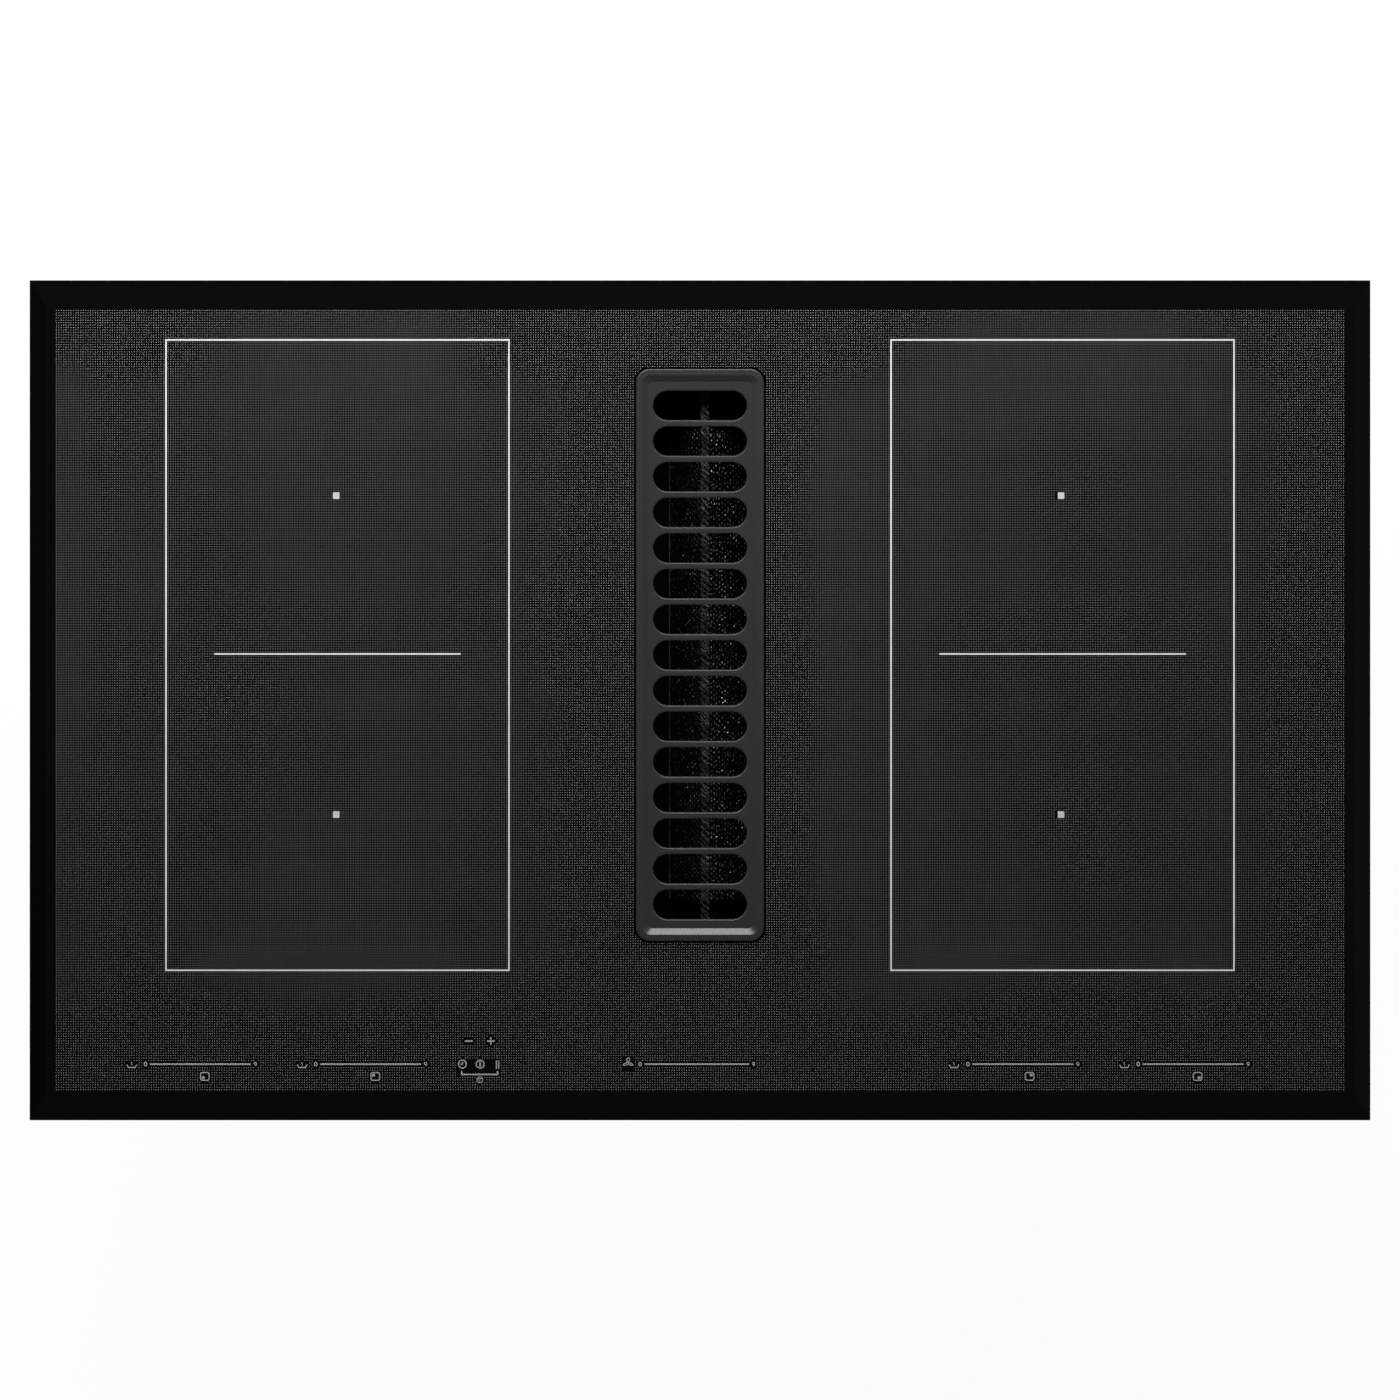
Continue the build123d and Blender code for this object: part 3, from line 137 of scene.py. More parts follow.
class Finish(Wiring):
    # one procedural material, whose Principled shader takes constants and wires by socket name
    def __init__(self, name, **constants):
        self.material = bpy.data.materials.new(name)
        self.material.use_nodes = True
        super().__init__(self.material.node_tree)
        self.shader = self.tree.nodes["Principled BSDF"]
        self.object = self.node("ShaderNodeTexCoord", out="Object")
        self.put(**constants)

    def put(self, **values):
        for key, value in values.items():
            self.join(self.shader.inputs[shaderSockets[key]], value)
        return self

    def noise(self, scale, detail=2.0, stretch=None):
        # grey cloud noise in 0..1, scale clouds to the metre; stretch gives its own scale along each axis
        place = self.object
        if stretch:
            place = self.node("ShaderNodeMapping", {}, {"Vector": place, "Scale": stretch})
        return self.node("ShaderNodeTexNoise", {}, {"Vector": place, "Scale": scale, "Detail": detail}, "Fac")

    def mix(self, share, first, last):
        # a colour between two others
        return self.node("ShaderNodeMix", {"data_type": "RGBA"}, {0: share, 6: first, 7: last}, 2)

    def bump(self, height, depth, edge=0.0):
        # height in 0..1 raised by depth metres, over edges that look rounded to the radius edge
        inputs = {"Height": height, "Distance": depth, "Strength": 1.0}
        if edge:
            inputs["Normal"] = self.node("ShaderNodeBevel", {"samples": 6}, {"Radius": edge}, "Normal")
        return self.node("ShaderNodeBump", {}, inputs, "Normal")

    def axis(self, name):
        return self.node("ShaderNodeSeparateXYZ", {}, {0: self.object}, name)


def colour(shade):
    # a grey number or a linear RGB triple as RGBA
    if np.isscalar(shade):
        return (shade, shade, shade, 1.0)
    return (*shade[:3], 1.0)


def addPiece(name, points, faces, body, finish, smooth=False, sheet=None):
    # points in mm and equal-sided faces put into one mesh at once; sheet is a box (low x, low y, high x,
    # high y) that lays the piece flat on its own UV map
    mesh = bpy.data.meshes.new(name)
    mesh.vertices.add(len(points))
    mesh.vertices.foreach_set("co", (points * mm).astype(np.float32).ravel())
    mesh.loops.add(faces.size)
    mesh.loops.foreach_set("vertex_index", faces.astype(np.int32).ravel())
    mesh.polygons.add(len(faces))
    mesh.polygons.foreach_set("loop_start", np.arange(0, faces.size, faces.shape[1], dtype=np.int32))
    mesh.polygons.foreach_set("use_smooth", np.full(len(faces), smooth))
    mesh.update(calc_edges=True)
    if sheet:
        low, high = np.array(sheet[:2]), np.array(sheet[2:])
        flat = (points[faces.ravel(), :2] - low) / (high - low)
        mesh.uv_layers.new(name="OFBake").data.foreach_set("uv", flat.astype(np.float32).ravel())
    mesh.materials.append(finish.material)
    piece = bpy.data.objects.new(name, mesh)
    bpy.context.scene.collection.objects.link(piece)
    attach(piece, body)
    return piece


def carry(path, profile, closed=False, up=(0.0, 0.0, 1.0)):
    # a profile carried along a path: at each point of the path the profile's first number goes sideways along
    # the mitre of the two runs that meet there, and its second goes along up. A path is (points, 3), and
    # several of one length are (strands, points, 3)
    path = np.asarray(path, float)
    path = path[None] if path.ndim == 2 else path
    profile = np.asarray(profile, float)
    up = np.asarray(up, float)
    runs = np.roll(path, -1, 1) - path
    runs /= np.maximum(np.linalg.norm(runs, axis=2, keepdims=True), 1e-12)
    before = np.roll(runs, 1, 1)
    if not closed:
        runs[:, -1] = runs[:, -2]
        before[:, 0] = runs[:, 0]
    side = np.cross(up, runs) + np.cross(up, before)
    side /= np.maximum((side * np.cross(up, runs)).sum(2, keepdims=True), 0.25)
    rings = path[:, :, None] + side[:, :, None] * profile[:, 0, None] + up * profile[:, 1, None]
    strands, count, corners = rings.shape[:3]
    index = np.arange(strands * count * corners).reshape(strands, count, corners)
    here = index if closed else index[:, :-1]
    there = np.roll(index, -1, 1) if closed else index[:, 1:]
    quads = np.stack([here, np.roll(here, -1, 2), np.roll(there, -1, 2), there], 3).reshape(-1, 4)
    if not closed and corners == 4:
        quads = np.concatenate([quads, index[:, 0, ::-1], index[:, -1]])
    return rings.reshape(-1, 3), quads


def gather(parts):
    # several (points, faces) pairs as one pair
    offsets = np.cumsum([0] + [len(points) for points, faces in parts])
    points = np.concatenate([points for points, faces in parts])
    faces = np.concatenate([faces + offset for (_, faces), offset in zip(parts, offsets)])
    return points, faces


def arc(x, y, reachX, reachY, first, last, count=24):
    # points on an ellipse about (x, y), from one angle in degrees to another
    turn = np.radians(np.linspace(first, last, count))
    return np.stack([x + reachX * np.cos(turn), y + reachY * np.sin(turn)], 1)


def loop(width, height, radius, count=6):
    # a closed rounded rectangle about (0, 0): four quarter circles in turn
    across, along = width / 2 - radius, height / 2 - radius
    corners = [(across, along, 0), (-across, along, 90), (-across, -along, 180), (across, -along, 270)]
    return np.concatenate([arc(x, y, radius, radius, turn, turn + 90, count) for x, y, turn in corners])


# the print on the glass: sizes in mm, and shades as linear greys
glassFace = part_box("glass_top")[1][2] / mm
printInk = {
    "foot": 0.004, "rise": 0.03, "lift": 0.003, "lifts": 4,
    "rough": 0.42, "gloss": 0.35, "grain": 2600.0, "relief": 0.000004, "dip": 0.95,
    "zones": 0.79, "centres": 0.62, "controls": 0.44,
}


def printedInk(name, shade):
    # fired ceramic ink: matt, with a fine grain
    ink = Finish(name, rough=printInk["rough"], specular=printInk["gloss"])
    grain = ink.noise(printInk["grain"], 3.0)
    ink.put(base=ink.mix(grain, shade * printInk["dip"], shade), normal=ink.bump(grain, printInk["relief"]))
    return ink


def inkStroke(points, width, closed=False, lift=0.0):
    # one printed line: a flat rectangle as wide as the line, carried along the points just above the glass;
    # lift keeps a stroke off the one that it crosses
    flat = np.asarray(points, float)
    path = np.column_stack([flat, np.full(len(flat), glassFace)])
    half, foot, top = width / 2, printInk["foot"], printInk["rise"] + lift
    return carry(path, [(-half, foot), (half, foot), (half, top), (-half, top)], closed)


# cooking zones: an outline and a dash each side of the grille, and a small square in the middle of each zone
zonePrint = {
    "width": 0.95, "left": -330.55, "right": -118.25, "front": -167.1, "back": 223.1,
    "dashY": 28.7, "dashLeft": -300.8, "dashRight": -148.2,
    "squares": ((-225.2, 126.7), (-225.2, -70.7), (223.5, 126.7), (223.5, -70.7)), "squareSize": 4.0,
}
zoneLines = []
for side in (1, -1):
    left, right = side * zonePrint["left"], side * zonePrint["right"]
    back, front, dashY = zonePrint["back"], zonePrint["front"], zonePrint["dashY"]
    dashLeft, dashRight = side * zonePrint["dashLeft"], side * zonePrint["dashRight"]
    zoneLines.append(([(left, front), (right, front), (right, back), (left, back)][::side], True))
    zoneLines.append(([(dashLeft, dashY), (dashRight, dashY)], False))
zoneParts = [inkStroke(points, zonePrint["width"], closed) for points, closed in zoneLines]
half = zonePrint["squareSize"] / 2
squareParts = [inkStroke([(x - half, y), (x + half, y)], 2 * half) for x, y in zonePrint["squares"]]
addPiece("zoneOutlines", *gather(zoneParts), "housing", printedInk("zoneInk", printInk["zones"]))
addPiece("zoneCentres", *gather(squareParts), "housing", printedInk("centreInk", printInk["centres"]))


fanBlade = {"long": 1.65, "wide": 0.62, "end": 345, "dip": 23, "away": 1.42, "under": 0.95}


def petal(side):
    # a blade of the fan's sign: an ellipse beside and below the hub, its outer end dipped
    flat = arc(0, 0, fanBlade["long"], fanBlade["wide"], 0, fanBlade["end"])[::side]
    dip = radians(-fanBlade["dip"] * side)
    turned = flat @ np.array([(cos(dip), sin(dip)), (-sin(dip), cos(dip))])
    return turned + (fanBlade["away"] * side, -fanBlade["under"])


# each sign is drawn about its own middle, line by line: (points, width, closed)
signs = {
    "nought": [(arc(0, 0, 0.78, 1.15, 0, 345), 0.6, True)],
    "nine": [
        (arc(0, 0.42, 0.72, 0.72, 0, 342, 20), 0.5, True),
        ([(0.72, 0.5), (0.7, -0.1), (0.46, -0.7), (0, -1.15)], 0.5, False),
    ],
    "pot": [  # with a wisp of steam over it
        ([(-3.0, -0.3), (-2.1, -2.1), (2.1, -2.1), (3.0, -0.3)], 0.7, False),
        ([(-0.1, 1.2), (-0.25, 0.5), (0.1, -0.1), (0, -0.7)], 0.5, False),
    ],
    "zone": [(loop(5.3, 4.8, 1.1), 0.65, True)],
    "zoneMark": [([(-0.9, 0), (0.9, 0)], 1.6, False)],
    "clock": [
        (arc(0, 0, 2.45, 2.45, 0, 350, 36), 0.65, True),
        ([(0.1, 1.5), (0.1, -0.1), (-1.1, -0.15)], 0.7, False),
    ],
    "power": [
        (arc(0, 0, 2.45, 2.45, 0, 350, 36), 0.65, True),
        ([(0, 1.5), (0, -1.5)], 0.85, False),
    ],
    "pause": [
        ([(-0.75, 2.3), (-0.75, -2.9)], 0.65, False),
        ([(0.75, 2.3), (0.75, -2.9)], 0.65, False),
    ],
    "lock": [
        (arc(0, 0, 1.8, 1.8, 0, 348, 30), 0.5, True),
        (arc(0, 0.1, 0.95, 0.95, 15, 165, 12), 0.4, False),
        ([(0, 0.1), (0, -1.15)], 0.5, False),
    ],
    "fan": [(arc(0, 1.75, 0.9, 1.15, 0, 345), 0.5, True), (petal(-1), 0.5, True), (petal(1), 0.5, True)],
    "minus": [([(-2.4, 0), (2.4, 0)], 0.85, False)],
    "plus": [([(-2.4, 0), (2.4, 0)], 0.8, False), ([(0, -2.4), (0, 2.4)], 0.75, False)],
}
controls = {
    "row": -225.2, "zoneRow": -232.8,
    "bars": ((-340.5, -278.0), (-235.1, -172.6), (-34.3, 30.4), (168.6, 231.1), (274.0, 336.5)),
    "barWidth": (1.0, 1.0, 0.95, 1.0, 1.0), "digitGap": 2.75,
    "pots": (-351.7, -246.3, 157.25, 262.7),
    # a zone sign's x, and on which side of it and how far back its mark stands
    "zones": ((-306.5, -1, -1), (-201.0, -1, 1), (204.0, 1, 1), (308.0, 1, -1)), "markX": 1.05, "markY": 0.85,
    "clock": -147.1, "power": -136.1, "pause": -125.3,
    "bracket": (-147.5, -125.3, -229.5, -231.6), "bracketWidth": 0.85,
    "lock": (-136.3, -234.9), "fan": (-44.5, -224.2), "minus": (-143.1, -210.9), "plus": (-129.5, -210.9),
}
row, zoneRow = controls["row"], controls["zoneRow"]
strokes = []  # each is (points, width, closed)


def drawSign(name, x, y):
    for points, width, closed in signs[name]:
        strokes.append((np.asarray(points, float) + (x, y), width, closed))


for (start, end), width in zip(controls["bars"], controls["barWidth"]):
    strokes.append(([(start, row), (end, row)], width, False))
    drawSign("nought", start - controls["digitGap"], row)
    drawSign("nine", end + controls["digitGap"], row)
for x in controls["pots"]:
    drawSign("pot", x, row)
for x, across, along in controls["zones"]:
    drawSign("zone", x, zoneRow)
    drawSign("zoneMark", x + controls["markX"] * across, zoneRow + controls["markY"] * along)
for name in ("clock", "power", "pause"):
    drawSign(name, controls[name], row)
left, right, high, low = controls["bracket"]
strokes.append(([(left, high), (left, low), (right, low), (right, high)], controls["bracketWidth"], False))
for name in ("lock", "fan", "minus", "plus"):
    drawSign(name, *controls[name])
layers = []
for order, stroke in enumerate(strokes):
    layers.append(inkStroke(*stroke, lift=printInk["lift"] * (order % printInk["lifts"])))
addPiece("controlPrint", *gather(layers), "housing", printedInk("controlInk", printInk["controls"]))
print("print: zones and", len(strokes), "control strokes")

# white dots all over the glass, with clear lanes around the prints and the grille
dotGrid = {
    "left": -398.4, "right": 398.4, "front": -241.0, "back": 241.3, "columns": 530, "rows": 321,
    "size": 0.41, "rise": 0.02, "white": 0.42, "dip": 0.93, "clouds": 9.0, "rough": 0.5, "gloss": 0.3,
    "holeGap": 1.15, "holeRadius": 9.85, "edge": 0.2,
    "zoneClear": 0.95, "controlClear": 1.4, "squareClear": 0.9,
    "signClear": (2.6, 2.4), "potClear": (3.9, 3.1, 1.8),
    # low x, low y, high x, high y of the places that stay black
    "bare": (
        (-150.0, -232.8, -123.4, -222.0), (-48.4, -229.4, -40.6, -220.6),
        (-146.5, -213.1, -139.9, -208.6), (-132.8, -213.1, -126.3, -208.6),
    ),
    "sheet": (400.0, 243.0),
}
across = np.linspace(dotGrid["left"], dotGrid["right"], dotGrid["columns"])
along = np.linspace(dotGrid["front"], dotGrid["back"], dotGrid["rows"])
dots = np.stack(np.meshgrid(across, along), 2).reshape(-1, 2)
keep = np.ones(len(dots), bool)

# signed distance to a rounded rectangle: the length of what lies past its inner corners, less the corner radius
holeLow, holeHigh = (np.array(corner)[:2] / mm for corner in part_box("grille"))
holeMiddle, holeHalf = (holeLow + holeHigh) / 2, (holeHigh - holeLow) / 2 + dotGrid["holeGap"]
inner = np.abs(dots - holeMiddle) - (holeHalf - dotGrid["holeRadius"])
away = np.hypot(*np.maximum(inner, 0).T) + np.minimum(inner.max(1), 0)
keep &= away > dotGrid["holeRadius"] + dotGrid["edge"]


def nearLine(spots, points, closed, reach):
    # true where a spot lies nearer than reach to one of the runs between the points. Its gap to a run is what
    # is left of its offset from the run's start once the part along the run, held to the run, is taken off
    points = np.asarray(points, float)
    starts = points if closed else points[:-1]
    ends = np.roll(points, -1, 0) if closed else points[1:]
    low, high = points.min(0) - reach, points.max(0) + reach
    inside = np.flatnonzero(((spots > low) & (spots < high)).all(1))
    runs = ends - starts
    away = spots[inside, None] - starts
    share = np.clip((away * runs).sum(2) / (runs ** 2).sum(1), 0, 1)
    gaps = np.linalg.norm(away - share[:, :, None] * runs, axis=2).min(1)
    near = np.zeros(len(spots), bool)
    near[inside] = gaps < reach
    return near


for points, closed in zoneLines:
    keep &= ~nearLine(dots, points, closed, dotGrid["zoneClear"])
for points, width, closed in strokes:
    keep &= ~nearLine(dots, points, closed, dotGrid["controlClear"])
boxes = list(dotGrid["bare"])
wide, under, over = dotGrid["potClear"]
boxes += [(x - wide, row - under, x + wide, row + over) for x in controls["pots"]]
clear = half + dotGrid["squareClear"]
boxes += [(x - clear, y - clear, x + clear, y + clear) for x, y in zonePrint["squares"]]
wide, tall = dotGrid["signClear"]
boxes += [(x - wide, zoneRow - tall, x + wide, zoneRow + tall) for x, _, _ in controls["zones"]]
for lowX, lowY, highX, highY in boxes:
    keep &= ~((dots > (lowX, lowY)) & (dots < (highX, highY))).all(1)

inkDots = Finish("ceramicDots", rough=dotGrid["rough"], specular=dotGrid["gloss"])
dotCloud = inkDots.noise(dotGrid["clouds"])
inkDots.put(base=inkDots.mix(dotCloud, dotGrid["white"] * dotGrid["dip"], dotGrid["white"]))
corners = np.array([(-1, -1), (1, -1), (1, 1), (-1, 1)]) * dotGrid["size"] / 2
sheetX, sheetY = dotGrid["sheet"]
for name, side in (("dotPrintLeft", -1), ("dotPrintRight", 1)):
    spots = dots[keep & (dots[:, 0] * side > 0)]
    flat = (spots[:, None] + corners).reshape(-1, 2)
    points = np.column_stack([flat, np.full(len(flat), glassFace + dotGrid["rise"])])
    faces = np.arange(len(points)).reshape(-1, 4)
    sheet = (min(side * sheetX, 0.0), -sheetY, max(side * sheetX, 0.0), sheetY)
    addPiece(name, points, faces, "housing", inkDots, sheet=sheet)
    print(name, len(spots), "dots")


# the filter's expanded metal is aluminium under a thin film of grease; the tones set for it below are painted
# light, far darker than bare aluminium: painted shade on the strands and the ridge, painted glints on the bonds
greaseFilm = {
    "clouds": 420.0, "detail": 4.0, "toneBand": (0.35, 0.65), "glossBand": (0.3, 0.7), "uneven": 0.1,
    "grain": 1900.0, "relief": 0.00003,
}


def stampedMetal(name, dark, light, rough, metal):
    # the film's clouds change the metal's tone and its gloss
    finish = Finish(name, metal=metal)
    stain, uneven = finish.noise(greaseFilm["clouds"], greaseFilm["detail"]), greaseFilm["uneven"]
    finish.put(base=finish.mix(stain.between(*greaseFilm["toneBand"]), dark, light))
    finish.put(rough=stain.between(*greaseFilm["glossBand"], rough + uneven, rough - uneven))
    finish.put(normal=finish.bump(finish.noise(greaseFilm["grain"]), greaseFilm["relief"]))
    return finish


metalTones = {
    # strands: painted shade, near-black, for aluminium that lies deep in the well
    "strandAluminium": {"dark": 0.003, "light": 0.010, "rough": 0.5, "metal": 0.85},
    # bonds: painted glints; the left sheet's are a dimmer, shaded copy of the right sheet's, which stand in the
    # light
    "bondAluminiumLeft": {"dark": 0.05, "light": 0.16, "rough": 0.5, "metal": 0.6},
    "bondAluminiumRight": {"dark": 0.13, "light": 0.42, "rough": 0.5, "metal": 0.6},
    # the ridge: painted shade too, lighter than the strands' as it lies higher and faces up
    "ridgeAluminium": {
        "dark": (0.030, 0.0285, 0.0275), "light": (0.072, 0.069, 0.067), "rough": 0.55, "metal": 0.6,
    },
}
metals = {name: stampedMetal(name, **tones) for name, tones in metalTones.items()}

# how far strands reach towards each other, and how unevenly they and their bonds are formed
weave = {"touch": 0.96, "outStray": 0.4, "bondStray": 1.5, "bondDent": 0.45}


def expandedSheet(corner, rightward, upward, width, height, look, seed):
    # strands run side by side along rightward; each zigzags up and down, and neighbours mirror each other, so
    # they meet at every peak and leave a diamond between. A strand is a tape, leaning out of the sheet.
    # Where two strands meet, a small lozenge stands for the wider metal of their bond.
    rng = np.random.default_rng(seed)
    normal = np.cross(rightward, upward)
    pitch, tape = look["pitch"], look["tape"]
    rows = max(round(height / look["row"]), 2)
    steps = int(width // (pitch / 2)) + 1
    reach = height / rows / 2
    along = np.arange(steps) * pitch / 2
    level = (np.arange(rows) + 0.5) * height / rows
    sign = np.where((np.arange(steps) + np.arange(rows)[:, None]) % 2 == 0, 1.0, -1.0)
    wander = look["wander"]  # the share of a half diamond by which its corners stray
    upTo = level[:, None] + sign * reach * weave["touch"] + rng.normal(0, reach * wander, sign.shape)
    out = rng.normal(0, tape[1] * weave["outStray"], sign.shape)
    shift = along + rng.normal(0, pitch / 2 * wander, sign.shape)
    path = corner + shift[..., None] * rightward + upTo[..., None] * upward + out[..., None] * normal
    half, thick, lean = tape[0] / 2, tape[1] / 2, radians(look["lean"])
    flat = np.array([(-half, -thick), (half, -thick), (half, thick), (-half, thick)])
    profile = flat @ np.array([(cos(lean), sin(lean)), (-sin(lean), cos(lean))])
    strands = carry(path, profile, up=normal)

    row, step = np.nonzero(sign[:-1] > 0)
    place = np.stack([along[step], (row + 1) * height / rows], 1)
    place += rng.normal(0, 1, place.shape) * np.array([pitch / 2, reach]) * wander * weave["bondStray"]
    middle = corner + place[:, :1] * rightward + place[:, 1:] * upward
    reachLong, reachUp, reachOut = look["bond"]
    tips = np.array([(1, 0, 0), (0, 1, 0), (-1, 0, 0), (0, -1, 0), (0, 0, 1), (0, 0, -1)], float)
    dents = rng.normal(0, reachOut * weave["bondDent"], (len(row), 6, 3))
    tips = tips * (reachLong, reachUp, reachOut) + dents
    points = middle[:, None] + tips @ np.array([rightward, upward, normal])
    sides = np.array([(0, 1, 4), (1, 2, 4), (2, 3, 4), (3, 0, 4), (1, 0, 5), (2, 1, 5), (3, 2, 5), (0, 3, 5)])
    faces = (np.arange(len(row))[:, None, None] * 6 + sides).reshape(-1, 3)
    return strands, (points.reshape(-1, 3), faces)


filterMesh = {
    "leftFoot": (-18.7, -46.2), "rightFoot": (33.0, -46.2),
    "ridgeLeft": (0.6, -9.4), "ridgeRight": (5.4, -9.4),
    "front": -123.6, "back": 168.6, "layers": 2, "depth": 0.3, "gap": 0.7, "coarser": 0.13,
    "look": {"pitch": 3.2, "row": 2.9, "tape": (0.45, 0.26), "lean": 38.0, "wander": 0.16},
    "bondLeft": (1.05, 0.42, 0.26), "bondRight": (0.95, 0.62, 0.3), "seedLeft": 11, "seedRight": 23,
}
front, back = filterMesh["front"], filterMesh["back"]
rightward = np.array([0.0, 1.0, 0.0])
for side in ("Left", "Right"):
    foot, ridge = filterMesh[side.lower() + "Foot"], filterMesh["ridge" + side]
    rise = np.array([ridge[0] - foot[0], 0.0, ridge[1] - foot[1]])
    height = np.linalg.norm(rise)
    upward = rise / height
    inward = np.cross(rightward, upward)
    inward *= -np.sign(inward[2])  # the second layer lies under the first
    layers = []
    for layer in range(filterMesh["layers"]):
        depth = filterMesh["depth"] + layer * filterMesh["gap"]
        corner = np.array([foot[0], front, foot[1]]) + inward * depth
        pitch = filterMesh["look"]["pitch"] * (1 + filterMesh["coarser"] * layer)
        look = dict(filterMesh["look"], pitch=pitch, bond=filterMesh["bond" + side])
        seed = filterMesh["seed" + side] + layer
        layers.append(expandedSheet(corner, rightward, upward, back - front, height, look, seed))
    parts = gather([layer[0] for layer in layers])
    strands = addPiece(f"mesh{side}Strands", *parts, "filter", metals["strandAluminium"])
    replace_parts(strands, f"mesh_{side.lower()}")
    points, faces = layers[0][1]
    addPiece(f"mesh{side}Bonds", points, faces, "filter", metals["bondAluminium" + side])
    print(side, "mesh:", len(faces) // 8, "bonds")

# the strip along the ridge: three crumpled layers, each coarser than the one under it
ridgeBand = {
    "left": 0.6, "right": 5.4, "top": -8.2, "front": -143.0, "back": 199.2, "step": 0.55, "seed": 41,
    "look": {"row": 2.4, "tape": (0.6, 0.3), "lean": 30.0, "wander": 0.14, "bond": (0.8, 0.4, 0.25)},
    "pitches": (5.2, 3.9, 3.1),
}
width, across = ridgeBand["back"] - ridgeBand["front"], ridgeBand["right"] - ridgeBand["left"]
sideways = np.array([1.0, 0.0, 0.0])
sheets = []
for layer, pitch in enumerate(ridgeBand["pitches"]):
    corner = np.array([ridgeBand["left"], ridgeBand["front"], ridgeBand["top"] - ridgeBand["step"] * layer])
    look = dict(ridgeBand["look"], pitch=pitch)
    seed = ridgeBand["seed"] + layer
    sheets.append(expandedSheet(corner, rightward, sideways, width, across, look, seed)[0])
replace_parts(addPiece("ridgeStrands", *gather(sheets), "filter", metals["ridgeAluminium"]), "filter_spine")

# the left sheet's foot is folded over into a thin hem, which waves a little:
# sway * sin(a quarter turn for each point + phase)
hem = {
    "x": -18.9, "z": -45.2, "radius": 0.35, "front": -123.0, "back": 168.0, "waves": 45,
    "sway": 0.12, "phase": 0.4, "fold": 300, "corners": 6,
}
along = np.linspace(hem["front"], hem["back"], 4 * hem["waves"])
wobble = hem["sway"] * np.sin(np.arange(len(along)) * pi / 2 + hem["phase"])
path = np.stack([hem["x"] + wobble, along, np.full(len(along), hem["z"])], 1)
ring = arc(0.0, 0.0, hem["radius"], hem["radius"], 0, hem["fold"], hem["corners"])
# the hem wears the left bonds' painted glint tone
addPiece("meshHem", *carry(path, ring), "filter", metals["bondAluminiumLeft"], smooth=True)


# finishes of the CAD nodes; every depth and every radius in a finish is in metres
def dress(finish, *names):
    for name in names:
        for slot in nodes[name].material_slots:
            slot.material = finish.material


def allOf(kind):
    # the nodes of one kind, one for each coil
    return [name for name in nodes if name.startswith(kind)]


glassLook = {
    "shade": (0.0018, 0.0018, 0.0019), "ior": 1.52, "rough": 0.05, "smeared": 0.085,
    "smears": 14.0, "detail": 4.0, "stretch": (1.0, 1.6, 1.0), "band": (0.35, 0.75),
}
blackGlass = Finish("blackCeramicGlass", base=glassLook["shade"], ior=glassLook["ior"])
smear = blackGlass.noise(glassLook["smears"], glassLook["detail"], glassLook["stretch"])
blackGlass.put(rough=smear.between(*glassLook["band"], glassLook["rough"], glassLook["smeared"]))
dress(blackGlass, "glass_top")

grilleLook = {
    "back": (0.0298, 0.0326, 0.0316), "front": (0.0315, 0.0318, 0.0318), "frontY": -0.15, "backY": 0.20,
    "cloud": 0.12, "clouds": 18.0, "rough": 0.31, "uneven": 0.04, "gloss": 0.5, "grain": 1500.0,
    "relief": 0.000012, "edge": 0.00045,
}
satinGrille = Finish("satinPaintedGrille", specular=grilleLook["gloss"])
orangePeel = satinGrille.noise(grilleLook["grain"])
# the paint looks neutral at the front and a little green at the back: the share runs along Y, plus a cloud
greening = (satinGrille.axis("Y") - grilleLook["frontY"]) / (grilleLook["backY"] - grilleLook["frontY"])
cloud = (satinGrille.noise(grilleLook["clouds"], 3.0) - 0.5) * (2 * grilleLook["cloud"])
rough, uneven = grilleLook["rough"], grilleLook["uneven"]
satinGrille.put(
    base=satinGrille.mix((greening + cloud).between(0.0, 1.0), grilleLook["front"], grilleLook["back"]),
    rough=orangePeel.between(0.2, 0.8, rough - uneven, rough + uneven),
    normal=satinGrille.bump(orangePeel, grilleLook["relief"], grilleLook["edge"]),
)
dress(satinGrille, "grille")

